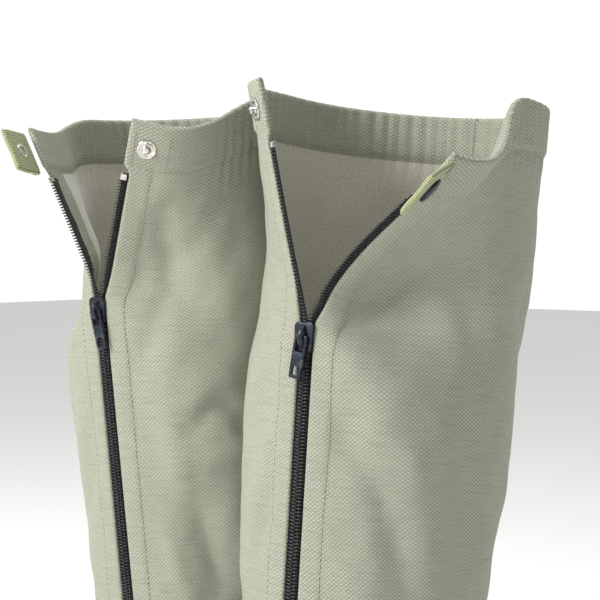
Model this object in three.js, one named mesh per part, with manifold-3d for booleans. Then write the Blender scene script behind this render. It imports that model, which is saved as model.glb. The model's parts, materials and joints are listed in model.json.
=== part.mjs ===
// A pair of zip-fronted hiking gaiters, standing as worn and unzipped part way down.
// Millimetres, +Z up. The toes point to -Y and the wearer's left gaiter stands at +X.
// One gaiter is built for the left leg in its own axes: x to the outer side of the leg,
// y to the heel, z up from the floor. The right gaiter is its mirror image.
import * as THREE from 'three';
import { mergeVertices } from 'three/addons/utils/BufferGeometryUtils.js';
import Module from 'manifold-3d';

// ---- driving dimensions ----
const topHeight = 430; // top edge of the hem above the floor
const footHeight = 32; // bottom edge, held up by the height of a boot sole
const calfRadius = 82; // tube radius above the calf
const calfHeight = 312; // the tube narrows in a straight line below this height
const taper = 0.0606; // radius lost per millimetre of height below the calf
const ankleHeight = 110; // the tube opens out over the boot below this height
const instepReach = 24; // how far the front opens out over the boot
const ankleNip = 4; // how far the sides close in on the boot
const footSpacing = 147; // between the two gaiters at the floor
const stride = 17; // how far each foot stands ahead of or behind the middle
const outwardLean = 2.8; // degrees, the knees stand wider than the ankles
const leanCentreHeight = 60; // the foot below stays level on the floor

const gap = 0.35; // between pieces that touch
const cloth = 2.2; // doubled face fabric with its lining
const hemDepth = 30; // top hem
const hemThickness = 5;
const casingWall = 0.95; // fabric round the elastic
const footHemDepth = 25;
const footHemThickness = 4.6;
const elasticThickness = 0.8;
const elasticMargin = 2.6; // hem depth left free beside the elastic

const chainWidth = 7.6; // closed coil chain
const coilThickness = 2.6;
const zipEdge = 6.2; // fabric edge from the middle of the zip
const tapeReach = 17; // tape edge from the middle of the zip
const tapeThickness = 0.8;
const chainEndBelowTop = 40; // the open chain stops this far below the top
const chainFoot = 9; // and starts this far above the slider
const stopLength = 3; // top stop
const bottomStopLength = 3.65;
const stopProud = 0.5; // of the coil's face
const stripWidth = 22; // folded edge strip of each flap
const flapFoot = 12; // the flaps start this far above the slider
const cornerRadius = 7;

const sliderLength = 17;
const sliderWidth = 13;
const sliderPlate = 1.8;
const bridgeWidth = 3.2;
const bridgeLength = 11;
const bridgeWall = 1.3;
const pinRadius = 1;
const pullLength = 24;
const pullWidth = 8.6;
const pullThickness = 1.6;
const pullPlay = 1.3; // room beside the bridge, so that the pull can hang askew
const pullSwing = -8; // degrees askew
const pullEyeWidth = 3.4; // small window near its end
const pullEyeLength = 5;
const pullEyeMargin = 2;
const flangeDepth = 0.9; // slider flange, below the middle of the chain

const studRadius = 6.2;
const studSetBack = 13; // stud from the edge of its flap
const studBelowTop = 17;
const ballRadius = 2.3;
const shankRadius = 1.8;
const capRadius = 7.6;
const socketRadius = 5.4;
const tabHeight = 30;
const tabLength = 27;
const tabThickness = 3.2;
const tabRise = 3.7; // inner face of the closed tab above the middle of the hem

const strapWidth = 20;
const strapThickness = 1.8;
const strapStandOff = 1.5; // strap middle from the face of the bottom hem
const rivetHeadRadius = 4.2;
const rivetShankRadius = 1.6;
const frameWall = 2.6;
const frameOpening = 15;

// lean is how far the leg leans back and toeOut how far its foot turns outwards, in degrees.
// Each flap stands open: across to its own side of the leg, out from the leg and up, from the
// slider to the top corner. turn is how far its fabric has turned from the zip's plane, and
// tabFold how far the open tab stands off its flap.
const gaiters = [
  {
    name: 'left',
    side: 1,
    lean: 5.5,
    toeOut: 3,
    openLength: 139,
    tabFold: 50,
    overlap: { across: 117, out: 27, rise: 112, turn: 50 },
    stud: { across: 25, out: 36, rise: 140, turn: 35 },
  },
  {
    name: 'right',
    side: -1,
    lean: -1,
    toeOut: 0,
    openLength: 121,
    tabFold: 10,
    overlap: { across: 50, out: 8, rise: 112, turn: 58 },
    stud: { across: 58, out: 20, rise: 114, turn: 35 },
  },
];

const wasm = await Module();
wasm.setup();

const degrees = THREE.MathUtils.degToRad;
const vec = (x, y, z) => new THREE.Vector3(x, y, z);
const ramp = (x, low, high) => THREE.MathUtils.smoothstep(x, low, high);
const even = (low, high, count) =>
  Array.from({ length: count + 1 }, (_, i) => low + ((high - low) * i) / count);

const fabric = { color: 0x8a8c78, roughness: 0.85, metalness: 0 };
const liningElastic = { color: 0x2b2c2a, roughness: 0.9, metalness: 0 };
const webbing = { color: 0x9aa070, roughness: 0.7, metalness: 0 };
const blackNylon = { color: 0x17171a, roughness: 0.5, metalness: 0 };
const gunmetal = { color: 0x2c3038, roughness: 0.35, metalness: 0.9 };
const nickel = { color: 0xb4b4b0, roughness: 0.25, metalness: 1 };
const coatedStrap = { color: 0x1c1d1c, roughness: 0.45, metalness: 0 };

// ---- solids ----
function piece(name, geometry, finish) {
  const mesh = new THREE.Mesh(geometry, new THREE.MeshStandardMaterial(finish));
  mesh.name = name;
  return mesh;
}

// Turns a closed mesh so that its faces point out.
function facingOut(points, triangles) {
  let volume = 0;
  for (const [a, b, c] of triangles) {
    volume += points[a].dot(points[b].clone().cross(points[c]));
  }
  const turned = volume < 0 ? triangles.map(([a, b, c]) => [a, c, b]) : triangles;
  const geometry = new THREE.BufferGeometry().setFromPoints(points);
  geometry.setIndex(turned.flat());
  return geometry;
}

function addQuad(triangles, a, b, c, d) {
  triangles.push([a, b, c], [a, c, d]);
}

// A curved plate between two grids of points of the same size.
function plate(outer, inner) {
  const rows = outer.length;
  const columns = outer[0].length;
  const points = [...outer.flat(), ...inner.flat()];
  const at = (layer, row, column) => (layer * rows + row) * columns + column;
  const triangles = [];
  for (let r = 0; r + 1 < rows; r += 1) {
    for (let c = 0; c + 1 < columns; c += 1) {
      addQuad(triangles, at(0, r, c), at(0, r, c + 1), at(0, r + 1, c + 1), at(0, r + 1, c));
      addQuad(triangles, at(1, r, c), at(1, r + 1, c), at(1, r + 1, c + 1), at(1, r, c + 1));
    }
  }
  for (let c = 0; c + 1 < columns; c += 1) {
    const top = rows - 1;
    addQuad(triangles, at(0, 0, c + 1), at(0, 0, c), at(1, 0, c), at(1, 0, c + 1));
    addQuad(triangles, at(0, top, c), at(0, top, c + 1), at(1, top, c + 1), at(1, top, c));
  }
  for (let r = 0; r + 1 < rows; r += 1) {
    const end = columns - 1;
    addQuad(triangles, at(0, r, 0), at(0, r + 1, 0), at(1, r + 1, 0), at(1, r, 0));
    addQuad(triangles, at(0, r + 1, end), at(0, r, end), at(1, r, end), at(1, r + 1, end));
  }
  return facingOut(points, triangles);
}

// A casing: a hollow section carried through stations and open at both ends.
// Each station lists its four outer corners, then its four inner corners.
function casing(stations) {
  const points = stations.flat();
  const triangles = [];
  const last = stations.length - 1;
  for (let s = 0; s < last; s += 1) {
    for (let k = 0; k < 4; k += 1) {
      const next = (k + 1) % 4;
      const here = s * 8;
      addQuad(triangles, here + k, here + next, here + 8 + next, here + 8 + k);
      addQuad(triangles, here + 4 + next, here + 4 + k, here + 12 + k, here + 12 + next);
    }
  }
  for (let k = 0; k < 4; k += 1) {
    const next = (k + 1) % 4;
    const end = last * 8;
    addQuad(triangles, next, k, 4 + k, 4 + next);
    addQuad(triangles, end + k, end + next, end + 4 + next, end + 4 + k);
  }
  return facingOut(points, triangles);
}

function toSolid(geometry) {
  const bare = geometry.clone();
  bare.deleteAttribute('normal');
  bare.deleteAttribute('uv');
  const merged = mergeVertices(bare, 1e-4);
  return new wasm.Manifold(
    new wasm.Mesh({
      numProp: 3,
      vertProperties: new Float32Array(merged.attributes.position.array),
      triVerts: new Uint32Array(merged.index.array),
    }),
  );
}

function toGeometry(solid) {
  const mesh = solid.getMesh();
  const geometry = new THREE.BufferGeometry();
  geometry.setAttribute('position', new THREE.BufferAttribute(mesh.vertProperties, 3));
  geometry.setIndex(new THREE.BufferAttribute(mesh.triVerts, 1));
  return geometry;
}

function cutFrom(geometry, ...tools) {
  return toGeometry(tools.reduce((solid, tool) => solid.subtract(toSolid(tool)), toSolid(geometry)));
}

function joined(...geometries) {
  return toGeometry(geometries.map(toSolid).reduce((all, solid) => all.add(solid)));
}

function block(xRange, yRange, zRange) {
  const size = [xRange, yRange, zRange].map(([low, high]) => high - low);
  const middle = [xRange, yRange, zRange].map(([low, high]) => (low + high) / 2);
  return new THREE.BoxGeometry(...size).translate(...middle);
}

// A round bar from one point to another.
function bar(from, to, radius, sides = 16) {
  const direction = to.clone().sub(from);
  const turn = new THREE.Quaternion().setFromUnitVectors(vec(0, 1, 0), direction.clone().normalize());
  const middle = from.clone().add(to).multiplyScalar(0.5);
  return new THREE.CylinderGeometry(radius, radius, direction.length(), sides)
    .applyQuaternion(turn)
    .translate(middle.x, middle.y, middle.z);
}

// A turned piece on the local z axis, from [radius, height] pairs.
function turned(profile, sides = 20) {
  const points = profile.map(([radius, height]) => new THREE.Vector2(radius, height));
  return new THREE.LatheGeometry(points, sides).rotateX(Math.PI / 2);
}

function roundedOutline(left, right, low, high, radius, bothSides = false) {
  const shape = new THREE.Shape();
  shape.moveTo(left, low);
  shape.lineTo(right, low);
  shape.lineTo(right, high - (bothSides ? radius : 0));
  if (bothSides) {
    shape.absarc(right - radius, high - radius, radius, 0, Math.PI / 2);
  }
  shape.lineTo(right - (bothSides ? radius : 0), high);
  shape.lineTo(left + radius, high);
  shape.absarc(left + radius, high - radius, radius, Math.PI / 2, Math.PI);
  shape.closePath();
  return shape;
}

function slab(shape, low, high) {
  return new THREE.ExtrudeGeometry(shape, {
    depth: high - low,
    bevelEnabled: false,
    curveSegments: 5,
  }).translate(0, 0, low);
}

// ---- the tube of cloth ----
function coneRadius(height) {
  return calfRadius - taper * Math.max(0, calfHeight - height);
}

// A point on the tube at an angle from the zip, round the outer side (half 1) or inner (half -1).
function tubePoint(half, angle, height) {
  const opened = 1 - ramp(height, footHeight, ankleHeight);
  const radius = coneRadius(height);
  const across = radius - ankleNip * opened;
  const along = angle < Math.PI / 2 ? radius + instepReach * opened ** 2 : radius;
  return vec(half * across * Math.sin(angle), -along * Math.cos(angle), height);
}

// The slider stands at the foot of the opening, on the front line of the tube.
function sliderHeight(gaiter) {
  return topHeight - gaiter.openLength;
}

function sliderPoint(gaiter) {
  return tubePoint(1, 0, sliderHeight(gaiter));
}

// The axes of an open flap: into the fabric, up along its edge and out of its face.
function flapAxes(flap, half) {
  const edge = vec(half * flap.across, -flap.out, flap.rise).normalize();
  const turn = degrees(flap.turn);
  const into = vec(half * Math.cos(turn), Math.sin(turn), 0);
  into.addScaledVector(edge, -into.dot(edge)).normalize();
  const face = into.clone().cross(edge).multiplyScalar(half);
  return { into, edge, face };
}

// Where the fixed cloth starts, beside the flap's strip, and the way it heads from there.
function openEdge(gaiter, half, height) {
  const flap = half > 0 ? gaiter.overlap : gaiter.stud;
  const { into, edge } = flapAxes(flap, half);
  const start = sliderHeight(gaiter);
  const reach = stripWidth + 4 * gap;
  const radius = coneRadius(height);
  const onTube = tubePoint(half, reach / radius, height);
  const onFlap = sliderPoint(gaiter)
    .addScaledVector(edge, height - start)
    .addScaledVector(into, reach);
  const blend = ramp(height, start - flapFoot, start + flapFoot);
  const along = vec(half, 0, 0).lerp(into, blend).normalize();
  return { point: onTube.lerp(onFlap, blend), along };
}

function closedEdge(half, height) {
  const angle = zipEdge / coneRadius(height);
  return { point: tubePoint(half, angle, height), along: vec(half, 0, 0) };
}

// A point on the fixed cloth. share runs from the front edge (0) past the side of the leg (0.5)
// to the back seam (1); height is measured up the cloth.
function clothPoint(gaiter, half, share, height) {
  const turn = Math.PI / 2;
  if (share >= 0.5) {
    return tubePoint(half, turn + (share - 0.5) * 2 * turn, height);
  }
  const isOpen = height > sliderHeight(gaiter) + flapFoot / 2;
  const front = isOpen ? openEdge(gaiter, half, height) : closedEdge(half, height);
  const side = tubePoint(half, turn, height);
  const arc = 0.5523 * Math.abs(side.x);
  const pull = isOpen ? ramp(height, sliderHeight(gaiter), topHeight) : 0;
  const reach = arc * (1 - 0.45 * pull);
  const curve = new THREE.CubicBezierCurve3(
    front.point,
    front.point.clone().addScaledVector(front.along, reach),
    side.clone().add(vec(0, -reach, 0)),
    side,
  );
  return curve.getPoint(share * 2);
}

function clothNormal(gaiter, half, share, height) {
  const step = 0.004;
  const low = Math.min(share, 1 - step);
  const across = clothPoint(gaiter, half, low + step, height).sub(
    clothPoint(gaiter, half, low, height),
  );
  const up = clothPoint(gaiter, half, low, height - 0.5)
    .sub(clothPoint(gaiter, half, low, height - 1))
    .normalize();
  return across.cross(up).multiplyScalar(half).normalize();
}

// Leans the upper part of a gaiter as one piece, and leaves its foot level on the floor.
function leanTurn(gaiter, share = 1) {
  const back = degrees(-gaiter.lean) * share;
  const out = degrees(outwardLean) * share;
  return new THREE.Quaternion().setFromEuler(new THREE.Euler(back, out, 0));
}

const leanCentre = vec(0, 0, leanCentreHeight);

function leaned(gaiter, point) {
  const share = ramp(point.z, footHeight, ankleHeight - 10);
  return point.clone().sub(leanCentre).applyQuaternion(leanTurn(gaiter, share)).add(leanCentre);
}

function clothOffset(gaiter, half, share, height, offset) {
  const point = clothPoint(gaiter, half, share, height);
  point.addScaledVector(clothNormal(gaiter, half, share, height), offset);
  return leaned(gaiter, point);
}

const seamShare = 1 - gap / 2 / (Math.PI * calfRadius);

// ---- fabric pieces ----
const frontColumns = 7;

function panelHeights(gaiter) {
  const foot = sliderHeight(gaiter) + flapFoot / 2;
  const low = footHeight + footHemDepth + gap;
  const high = topHeight - hemDepth - gap;
  return [low, 80, ankleHeight, 200, foot - 2, foot + 2, foot + 25, foot + 60, high];
}

function panel(gaiter, half) {
  const heights = panelHeights(gaiter);
  const shares = [...even(0, 0.5, frontColumns), ...even(0.5, seamShare, 4).slice(1)];
  const layer = (offset) =>
    heights.map((h) => shares.map((s) => clothOffset(gaiter, half, s, h, offset)));
  return plate(layer(cloth / 2), layer(-cloth / 2));
}

// Stations all the way round a gaiter, from the outer front edge to the inner front edge.
function aroundLeg(steps) {
  const shares = [...even(0, 0.5, steps), ...even(0.5, 1, steps - 2).slice(1)];
  const outer = shares.map((share) => ({ half: 1, share }));
  const inner = shares.slice(0, -1).map((share) => ({ half: -1, share }));
  return [...outer, ...inner.reverse()];
}

function hemStation(gaiter, { half, share }, low, high, thickness, wall) {
  const corner = (height, offset) => clothOffset(gaiter, half, share, height, offset);
  const out = thickness / 2;
  return [
    corner(low, out),
    corner(high, out),
    corner(high, -out),
    corner(low, -out),
    corner(low + wall, out - wall),
    corner(high - wall, out - wall),
    corner(high - wall, wall - out),
    corner(low + wall, wall - out),
  ];
}

function topHem(gaiter) {
  const stations = aroundLeg(8).map((place) =>
    hemStation(gaiter, place, topHeight - hemDepth, topHeight, hemThickness, casingWall),
  );
  return casing(stations);
}

function elasticBand(gaiter, low, high) {
  const layer = (offset) =>
    [low, high].map((height) =>
      aroundLeg(8).map(({ half, share }) => clothOffset(gaiter, half, share, height, offset)),
    );
  return plate(layer(elasticThickness / 2), layer(-elasticThickness / 2));
}

function footHem(gaiter) {
  const high = footHeight + footHemDepth;
  const stations = aroundLeg(8).map((place) =>
    hemStation(gaiter, place, footHeight, high, footHemThickness, casingWall),
  );
  return casing(stations);
}

// ---- the zip ----
// A straight strip as wide as the chain, down the front line.
function frontStrip(gaiter, low, high, face) {
  const heights = [low, 75, 92, ankleHeight, high].filter((h) => h >= low && h <= high);
  const layer = (offset) =>
    heights.map((height) =>
      [-chainWidth / 2, chainWidth / 2].map((across) =>
        leaned(gaiter, tubePoint(1, 0, height).add(vec(across, -offset, 0))),
      ),
    );
  return plate(layer(face), layer(-face));
}

function zipChain(gaiter) {
  const low = footHeight + 1 + bottomStopLength + gap;
  const high = sliderHeight(gaiter) - sliderLength - gap;
  return frontStrip(gaiter, low, high, coilThickness / 2);
}

function bottomStop(gaiter) {
  const low = footHeight + 1;
  return frontStrip(gaiter, low, low + bottomStopLength, coilThickness / 2 + stopProud);
}

// The tape lies on the back of the panel, along its first facet.
function lowerTape(gaiter, half) {
  const high = sliderHeight(gaiter) - 1;
  const heights = [...panelHeights(gaiter).filter((h) => h < high), high];
  const across = [chainWidth / 2 + 2 * gap, tapeReach];
  const layer = (offset) =>
    heights.map((height) => {
      const edge = clothOffset(gaiter, half, 0, height, offset);
      const next = clothOffset(gaiter, half, 0.5 / frontColumns, height, offset);
      const width = edge.distanceTo(next);
      return across.map((x) => edge.clone().lerp(next, (x - zipEdge) / width));
    });
  const face = -cloth / 2 - 2 * gap;
  return plate(layer(face), layer(face - tapeThickness));
}

// ---- flap pieces, in flap axes: x into the fabric, y up the edge, z out of the face ----
function carriedUp(profile, low, high) {
  const outline = new THREE.Shape(profile.map(([x, z]) => new THREE.Vector2(x, z)));
  return slab(outline, 0, high - low).rotateX(Math.PI / 2).translate(0, high, 0);
}

function openChain(gaiter) {
  const coil = coilThickness / 2;
  const tapeFace = -cloth / 2 - gap;
  const tapeBack = tapeFace - tapeThickness;
  const profile = [
    [gap, tapeBack],
    [tapeReach, tapeBack],
    [tapeReach, tapeFace],
    [chainWidth / 2, tapeFace],
    [chainWidth / 2, coil],
    [gap, coil],
  ];
  return carriedUp(profile, chainFoot, gaiter.openLength - chainEndBelowTop);
}

function topStop(gaiter) {
  const low = gaiter.openLength - chainEndBelowTop + gap;
  const half = coilThickness / 2 + stopProud;
  return block([gap, chainWidth / 2 + gap], [low, low + stopLength], [-half, half]);
}

function studHeight(gaiter) {
  return gaiter.openLength - studBelowTop;
}

function flapStrip(gaiter) {
  const length = gaiter.openLength;
  const hemFoot = length - hemDepth;
  const edge = chainWidth / 2 + 2 * gap;
  const strip = block([edge, stripWidth], [flapFoot, hemFoot + 1], [-cloth / 2, cloth / 2]);
  const outline = roundedOutline(1, stripWidth, hemFoot, length, cornerRadius);
  return joined(strip, slab(outline, -hemThickness / 2, hemThickness / 2));
}

function studFlap(gaiter) {
  const hole = turned([
    [0, -hemThickness],
    [shankRadius + gap, -hemThickness],
    [shankRadius + gap, hemThickness],
    [0, hemThickness],
  ]).translate(studSetBack, studHeight(gaiter), 0);
  return cutFrom(flapStrip(gaiter), hole);
}

const hemFace = hemThickness / 2;
const flangeFace = hemFace + gap;
const ballTop = flangeFace + 3.05;

function pressStud(gaiter) {
  const profile = [
    [0, flangeFace],
    [studRadius, flangeFace],
    [studRadius, flangeFace + 0.4],
    [ballRadius, flangeFace + 0.6],
    [ballRadius - 0.6, flangeFace + 1.3],
    [ballRadius, flangeFace + 2.1],
    [ballRadius - 0.4, ballTop - 0.2],
    [0, ballTop],
  ];
  return turned(profile, 16).translate(studSetBack, studHeight(gaiter), 0);
}

function studRivet(gaiter) {
  const profile = [
    [0, -flangeFace - 1],
    [studRadius - 0.6, -flangeFace - 0.8],
    [studRadius - 0.6, -flangeFace],
    [shankRadius, -flangeFace],
    [shankRadius, hemFace],
    [0, hemFace],
  ];
  return turned(profile, 16).translate(studSetBack, studHeight(gaiter), 0);
}

const tabTop = tabRise + tabThickness;

function snapTab(gaiter) {
  const middle = studHeight(gaiter);
  const low = middle - tabHeight / 2;
  const high = middle + tabHeight / 2;
  const outline = roundedOutline(low, high, gap, tabLength + gap, 5, true);
  const webbingSlab = slab(outline, tabRise, tabTop).rotateZ(Math.PI / 2);
  const hole = turned([
    [0, 0],
    [socketRadius + gap, 0],
    [socketRadius + gap, 2 * tabTop],
    [0, 2 * tabTop],
  ]).translate(-studSetBack, middle, 0);
  return cutFrom(webbingSlab, hole);
}

function snapSocket(gaiter) {
  const mouth = tabRise + gap / 2;
  const bore = ballRadius + 0.7;
  const profile = [
    [0, ballTop + 0.45],
    [bore, ballTop + 0.45],
    [bore, mouth],
    [socketRadius, mouth],
    [socketRadius, tabTop],
    [0, tabTop],
  ];
  return turned(profile, 16).translate(-studSetBack, studHeight(gaiter), 0);
}

function snapCap(gaiter) {
  const face = tabTop + gap;
  const profile = [
    [0, face],
    [capRadius, face],
    [capRadius, face + 0.7],
    [capRadius - 1.4, face + 1.6],
    [capRadius - 4, face + 2.1],
    [0, face + 2.3],
  ];
  return turned(profile, 20).translate(-studSetBack, studHeight(gaiter), 0);
}

// ---- slider, in front axes: x across, y up the closed chain, z out; origin at its top ----
const sliderBack = coilThickness / 2 + gap;
const sliderFace = sliderBack + sliderPlate;
const bridgeHeight = 2 * (pinRadius + gap);
const pinOut = sliderFace + gap + pinRadius;

function slider() {
  const plateSolid = block([-sliderWidth / 2, sliderWidth / 2], [-sliderLength, 0], [sliderBack, sliderFace]);
  const flangeIn = chainWidth / 2 + gap;
  const flangeOut = zipEdge - gap;
  const length = [-sliderLength, 0];
  const deep = [-flangeDepth, sliderBack + 0.2];
  const middle = -sliderLength / 2;
  const reach = bridgeLength / 2;
  const arch = block(
    [-bridgeWidth / 2, bridgeWidth / 2],
    [middle - reach - bridgeWall, middle + reach + bridgeWall],
    [sliderFace - 0.2, sliderFace + bridgeHeight + bridgeWall],
  );
  const under = block(
    [-bridgeWidth, bridgeWidth],
    [middle - reach, middle + reach],
    [sliderFace, sliderFace + bridgeHeight],
  );
  return joined(
    plateSolid,
    block([flangeIn, flangeOut], length, deep),
    block([-flangeOut, -flangeIn], length, deep),
    cutFrom(arch, under),
  );
}

// The pull hangs from its pin, which lies at the local origin along x.
function pullTab() {
  const half = pullWidth / 2;
  const armIn = bridgeWidth / 2 + pullPlay;
  const foot = bridgeLength / 2 + bridgeWall + 1;
  const face = [-pullThickness / 2, pullThickness / 2];
  const body = block([-half, half], [-pullLength, pullThickness / 2], face);
  const window = block([-armIn, armIn], [-foot, pullThickness], [-pullThickness, pullThickness]);
  const eyeFoot = pullEyeMargin - pullLength;
  const eye = block(
    [-pullEyeWidth / 2, pullEyeWidth / 2],
    [eyeFoot, eyeFoot + pullEyeLength],
    [-pullThickness, pullThickness],
  );
  return joined(cutFrom(body, window, eye), bar(vec(-half, 0, 0), vec(half, 0, 0), pinRadius, 12));
}

// ---- under the boot ----
const strapSide = tubePoint(1, Math.PI / 2, footHeight + footHemDepth).x
  + footHemThickness / 2 + strapStandOff;
const rivetHeight = footHeight + 17;
const frameBack = strapSide + strapThickness / 2 + gap;
const frameThickness = 2.4;
const frameFoot = footHeight - 16;
const frameBarHeight = frameFoot + frameWall * 1.5 + frameOpening;
const barRadius = frameThickness / 2;
const barOut = frameBack + barRadius;
const tailSide = frameBack + frameThickness + gap * 2 + strapThickness / 2;
const prongWidth = 2.8;

// A flat band whose middle follows a path in the x-z plane.
function band(path) {
  const half = strapThickness / 2;
  const sideways = path.map((point, i) => {
    const before = path[Math.max(i - 1, 0)];
    const after = path[Math.min(i + 1, path.length - 1)];
    const along = after.clone().sub(before).normalize();
    return new THREE.Vector2(-along.y, along.x).multiplyScalar(half);
  });
  const left = path.map((point, i) => point.clone().add(sideways[i]));
  const right = path.map((point, i) => point.clone().sub(sideways[i]));
  const outline = new THREE.Shape([...left, ...right.reverse()]);
  return slab(outline, -strapWidth / 2, strapWidth / 2).rotateX(Math.PI / 2);
}

function rivetBar(side, radius) {
  return bar(vec(side * (strapSide - 12), 0, rivetHeight), vec(side * (strapSide + 3), 0, rivetHeight), radius);
}

function longStrap() {
  const bend = 10;
  const floor = strapThickness / 2;
  const turnSteps = even(0, Math.PI / 2, 5);
  const innerTurn = turnSteps.map((a) => [-strapSide + bend - bend * Math.cos(a), floor + bend - bend * Math.sin(a)]);
  const outerTurn = turnSteps.map((a) => [strapSide - bend + bend * Math.sin(a), floor + bend - bend * Math.cos(a)]);
  const riseFrom = frameFoot + frameWall + 1;
  const points = [
    [-strapSide, footHeight + footHemDepth - 3],
    ...innerTurn,
    ...outerTurn,
    [strapSide, riseFrom],
    [tailSide, riseFrom + 11],
    [tailSide, footHeight + footHemDepth + 6],
  ];
  const strap = band(points.map(([x, z]) => new THREE.Vector2(x, z)));
  const slotFrom = riseFrom + 1;
  const slot = block(
    [strapSide - 3, tailSide + 3],
    [-prongWidth / 2 - 0.8, prongWidth / 2 + 0.8],
    [slotFrom, frameBarHeight + 4],
  );
  const holes = [0, 1].map((i) => {
    const height = frameBarHeight + 9 + i * 8;
    return bar(vec(tailSide - 3, 0, height), vec(tailSide + 3, 0, height), 1.6, 10);
  });
  return cutFrom(strap, rivetBar(-1, rivetShankRadius + gap), slot, ...holes);
}

function shortStrap() {
  const low = frameBarHeight - 1;
  const path = [new THREE.Vector2(strapSide, low), new THREE.Vector2(strapSide, footHeight + footHemDepth - 2)];
  const notch = block(
    [strapSide - 3, strapSide + 3],
    [-prongWidth / 2 - 0.8, prongWidth / 2 + 0.8],
    [low - 1, frameBarHeight + 3.5],
  );
  return cutFrom(band(path), rivetBar(1, rivetShankRadius + gap), notch);
}

function strapRivet(side) {
  const head = side * (strapSide + strapThickness / 2 + gap);
  const innerFace = side * (strapSide - strapStandOff - footHemThickness - 2.4);
  const at = (x) => vec(x, 0, rivetHeight);
  return joined(
    bar(at(innerFace), at(head), rivetShankRadius, 12),
    bar(at(head), at(head + side * 1.5), rivetHeadRadius, 14),
    bar(at(innerFace), at(innerFace - side * 1.2), rivetHeadRadius, 14),
  );
}

function buckleFrame() {
  const halfWidth = strapWidth / 2 + 0.8;
  const face = [frameBack, frameBack + frameThickness];
  const outer = block(face, [-halfWidth - frameWall, halfWidth + frameWall], [frameFoot, frameBarHeight + barRadius]);
  const opening = block(
    [frameBack - 1, frameBack + frameThickness + 1],
    [-halfWidth, halfWidth],
    [frameFoot + frameWall, frameBarHeight + barRadius + 1],
  );
  const crossBar = bar(vec(barOut, -halfWidth - 1, frameBarHeight), vec(barOut, halfWidth + 1, frameBarHeight), barRadius);
  return joined(cutFrom(outer, opening), crossBar);
}

function bucklePosition(height) {
  return vec(barOut, 0, height);
}

function buckleProng() {
  const half = prongWidth / 2;
  const eyeOut = barRadius + gap + 0.9;
  const eye = bar(bucklePosition(frameBarHeight).setY(-half), bucklePosition(frameBarHeight).setY(half), eyeOut, 18);
  const hole = bar(bucklePosition(frameBarHeight).setY(-3), bucklePosition(frameBarHeight).setY(3), barRadius + gap, 18);
  const front = frameBack + frameThickness + gap;
  const tongue = block([front, front + 1.1], [-half, half], [frameFoot + 0.6, frameBarHeight - 0.5]);
  return cutFrom(joined(eye, tongue), hole);
}

// A hook for the bootlace, on the front of the bottom hem beside the zip.
function laceHook() {
  const at = tubePoint(1, 17 / coneRadius(footHeight), footHeight + 12);
  const profile = [
    [0, 9],
    [1.3, 9],
    [1.3, -6],
    [3.4, -8],
    [5.2, -6],
    [5.2, -1],
    [6.5, -1],
    [6.5, -7],
    [3.8, -9.6],
    [2.6, -9.6],
    [0, -7],
  ];
  const outline = new THREE.Shape(profile.map(([out, up]) => new THREE.Vector2(out, up)));
  return slab(outline, -3.5, 3.5)
    .rotateX(Math.PI / 2)
    .rotateZ(-Math.PI / 2)
    .translate(at.x, at.y - footHemThickness / 2 - 2.2, at.z);
}

function footHemWithHoles(gaiter) {
  const holes = [rivetBar(1, rivetShankRadius + gap), rivetBar(-1, rivetShankRadius + gap)];
  return cutFrom(footHem(gaiter), ...holes);
}

function footElastic(gaiter) {
  const low = footHeight + elasticMargin;
  const high = footHeight + footHemDepth - elasticMargin;
  const holes = [rivetBar(1, rivetShankRadius + gap), rivetBar(-1, rivetShankRadius + gap)];
  return cutFrom(elasticBand(gaiter, low, high), ...holes);
}

// ---- assembly ----
function flapGroup(gaiter, half) {
  const flap = half > 0 ? gaiter.overlap : gaiter.stud;
  const { into, edge, face } = flapAxes(flap, half);
  const group = new THREE.Group();
  const axes = new THREE.Matrix4().makeBasis(into, edge, face).setPosition(sliderPoint(gaiter));
  group.applyMatrix4(axes);
  return group;
}

function overlapFlap(gaiter, name) {
  const group = flapGroup(gaiter, 1);
  group.add(
    piece(name('overlap_flap'), flapStrip(gaiter), fabric),
    piece(name('overlap_chain'), openChain(gaiter), blackNylon),
    piece(name('overlap_top_stop'), topStop(gaiter), nickel),
  );
  const fold = new THREE.Group();
  const hinge = vec(0, 0, tabRise - 0.5);
  fold.add(
    piece(name('snap_tab'), snapTab(gaiter).translate(0, 0, -hinge.z), webbing),
    piece(name('snap_socket'), snapSocket(gaiter).translate(0, 0, -hinge.z), nickel),
    piece(name('snap_cap'), snapCap(gaiter).translate(0, 0, -hinge.z), gunmetal),
  );
  fold.position.copy(hinge);
  fold.rotation.y = degrees(gaiter.tabFold);
  group.add(fold);
  return group;
}

function innerFlap(gaiter, name) {
  const group = flapGroup(gaiter, -1);
  group.add(
    piece(name('stud_flap'), studFlap(gaiter), fabric),
    piece(name('stud_chain'), openChain(gaiter), blackNylon),
    piece(name('stud_top_stop'), topStop(gaiter), nickel),
    piece(name('press_stud'), pressStud(gaiter), nickel),
    piece(name('stud_rivet'), studRivet(gaiter), nickel),
  );
  return group;
}

function sliderGroup(gaiter, name) {
  const group = new THREE.Group();
  const up = vec(0, -taper, 1).normalize();
  const across = vec(1, 0, 0);
  const axes = new THREE.Matrix4().makeBasis(across, up, across.clone().cross(up));
  group.applyMatrix4(axes.setPosition(sliderPoint(gaiter)));
  const pull = piece(name('pull_tab'), pullTab(), gunmetal);
  pull.position.set(0, -sliderLength / 2, pinOut);
  pull.rotation.z = degrees(pullSwing);
  group.add(piece(name('slider'), slider(), gunmetal), pull);
  return group;
}

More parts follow.
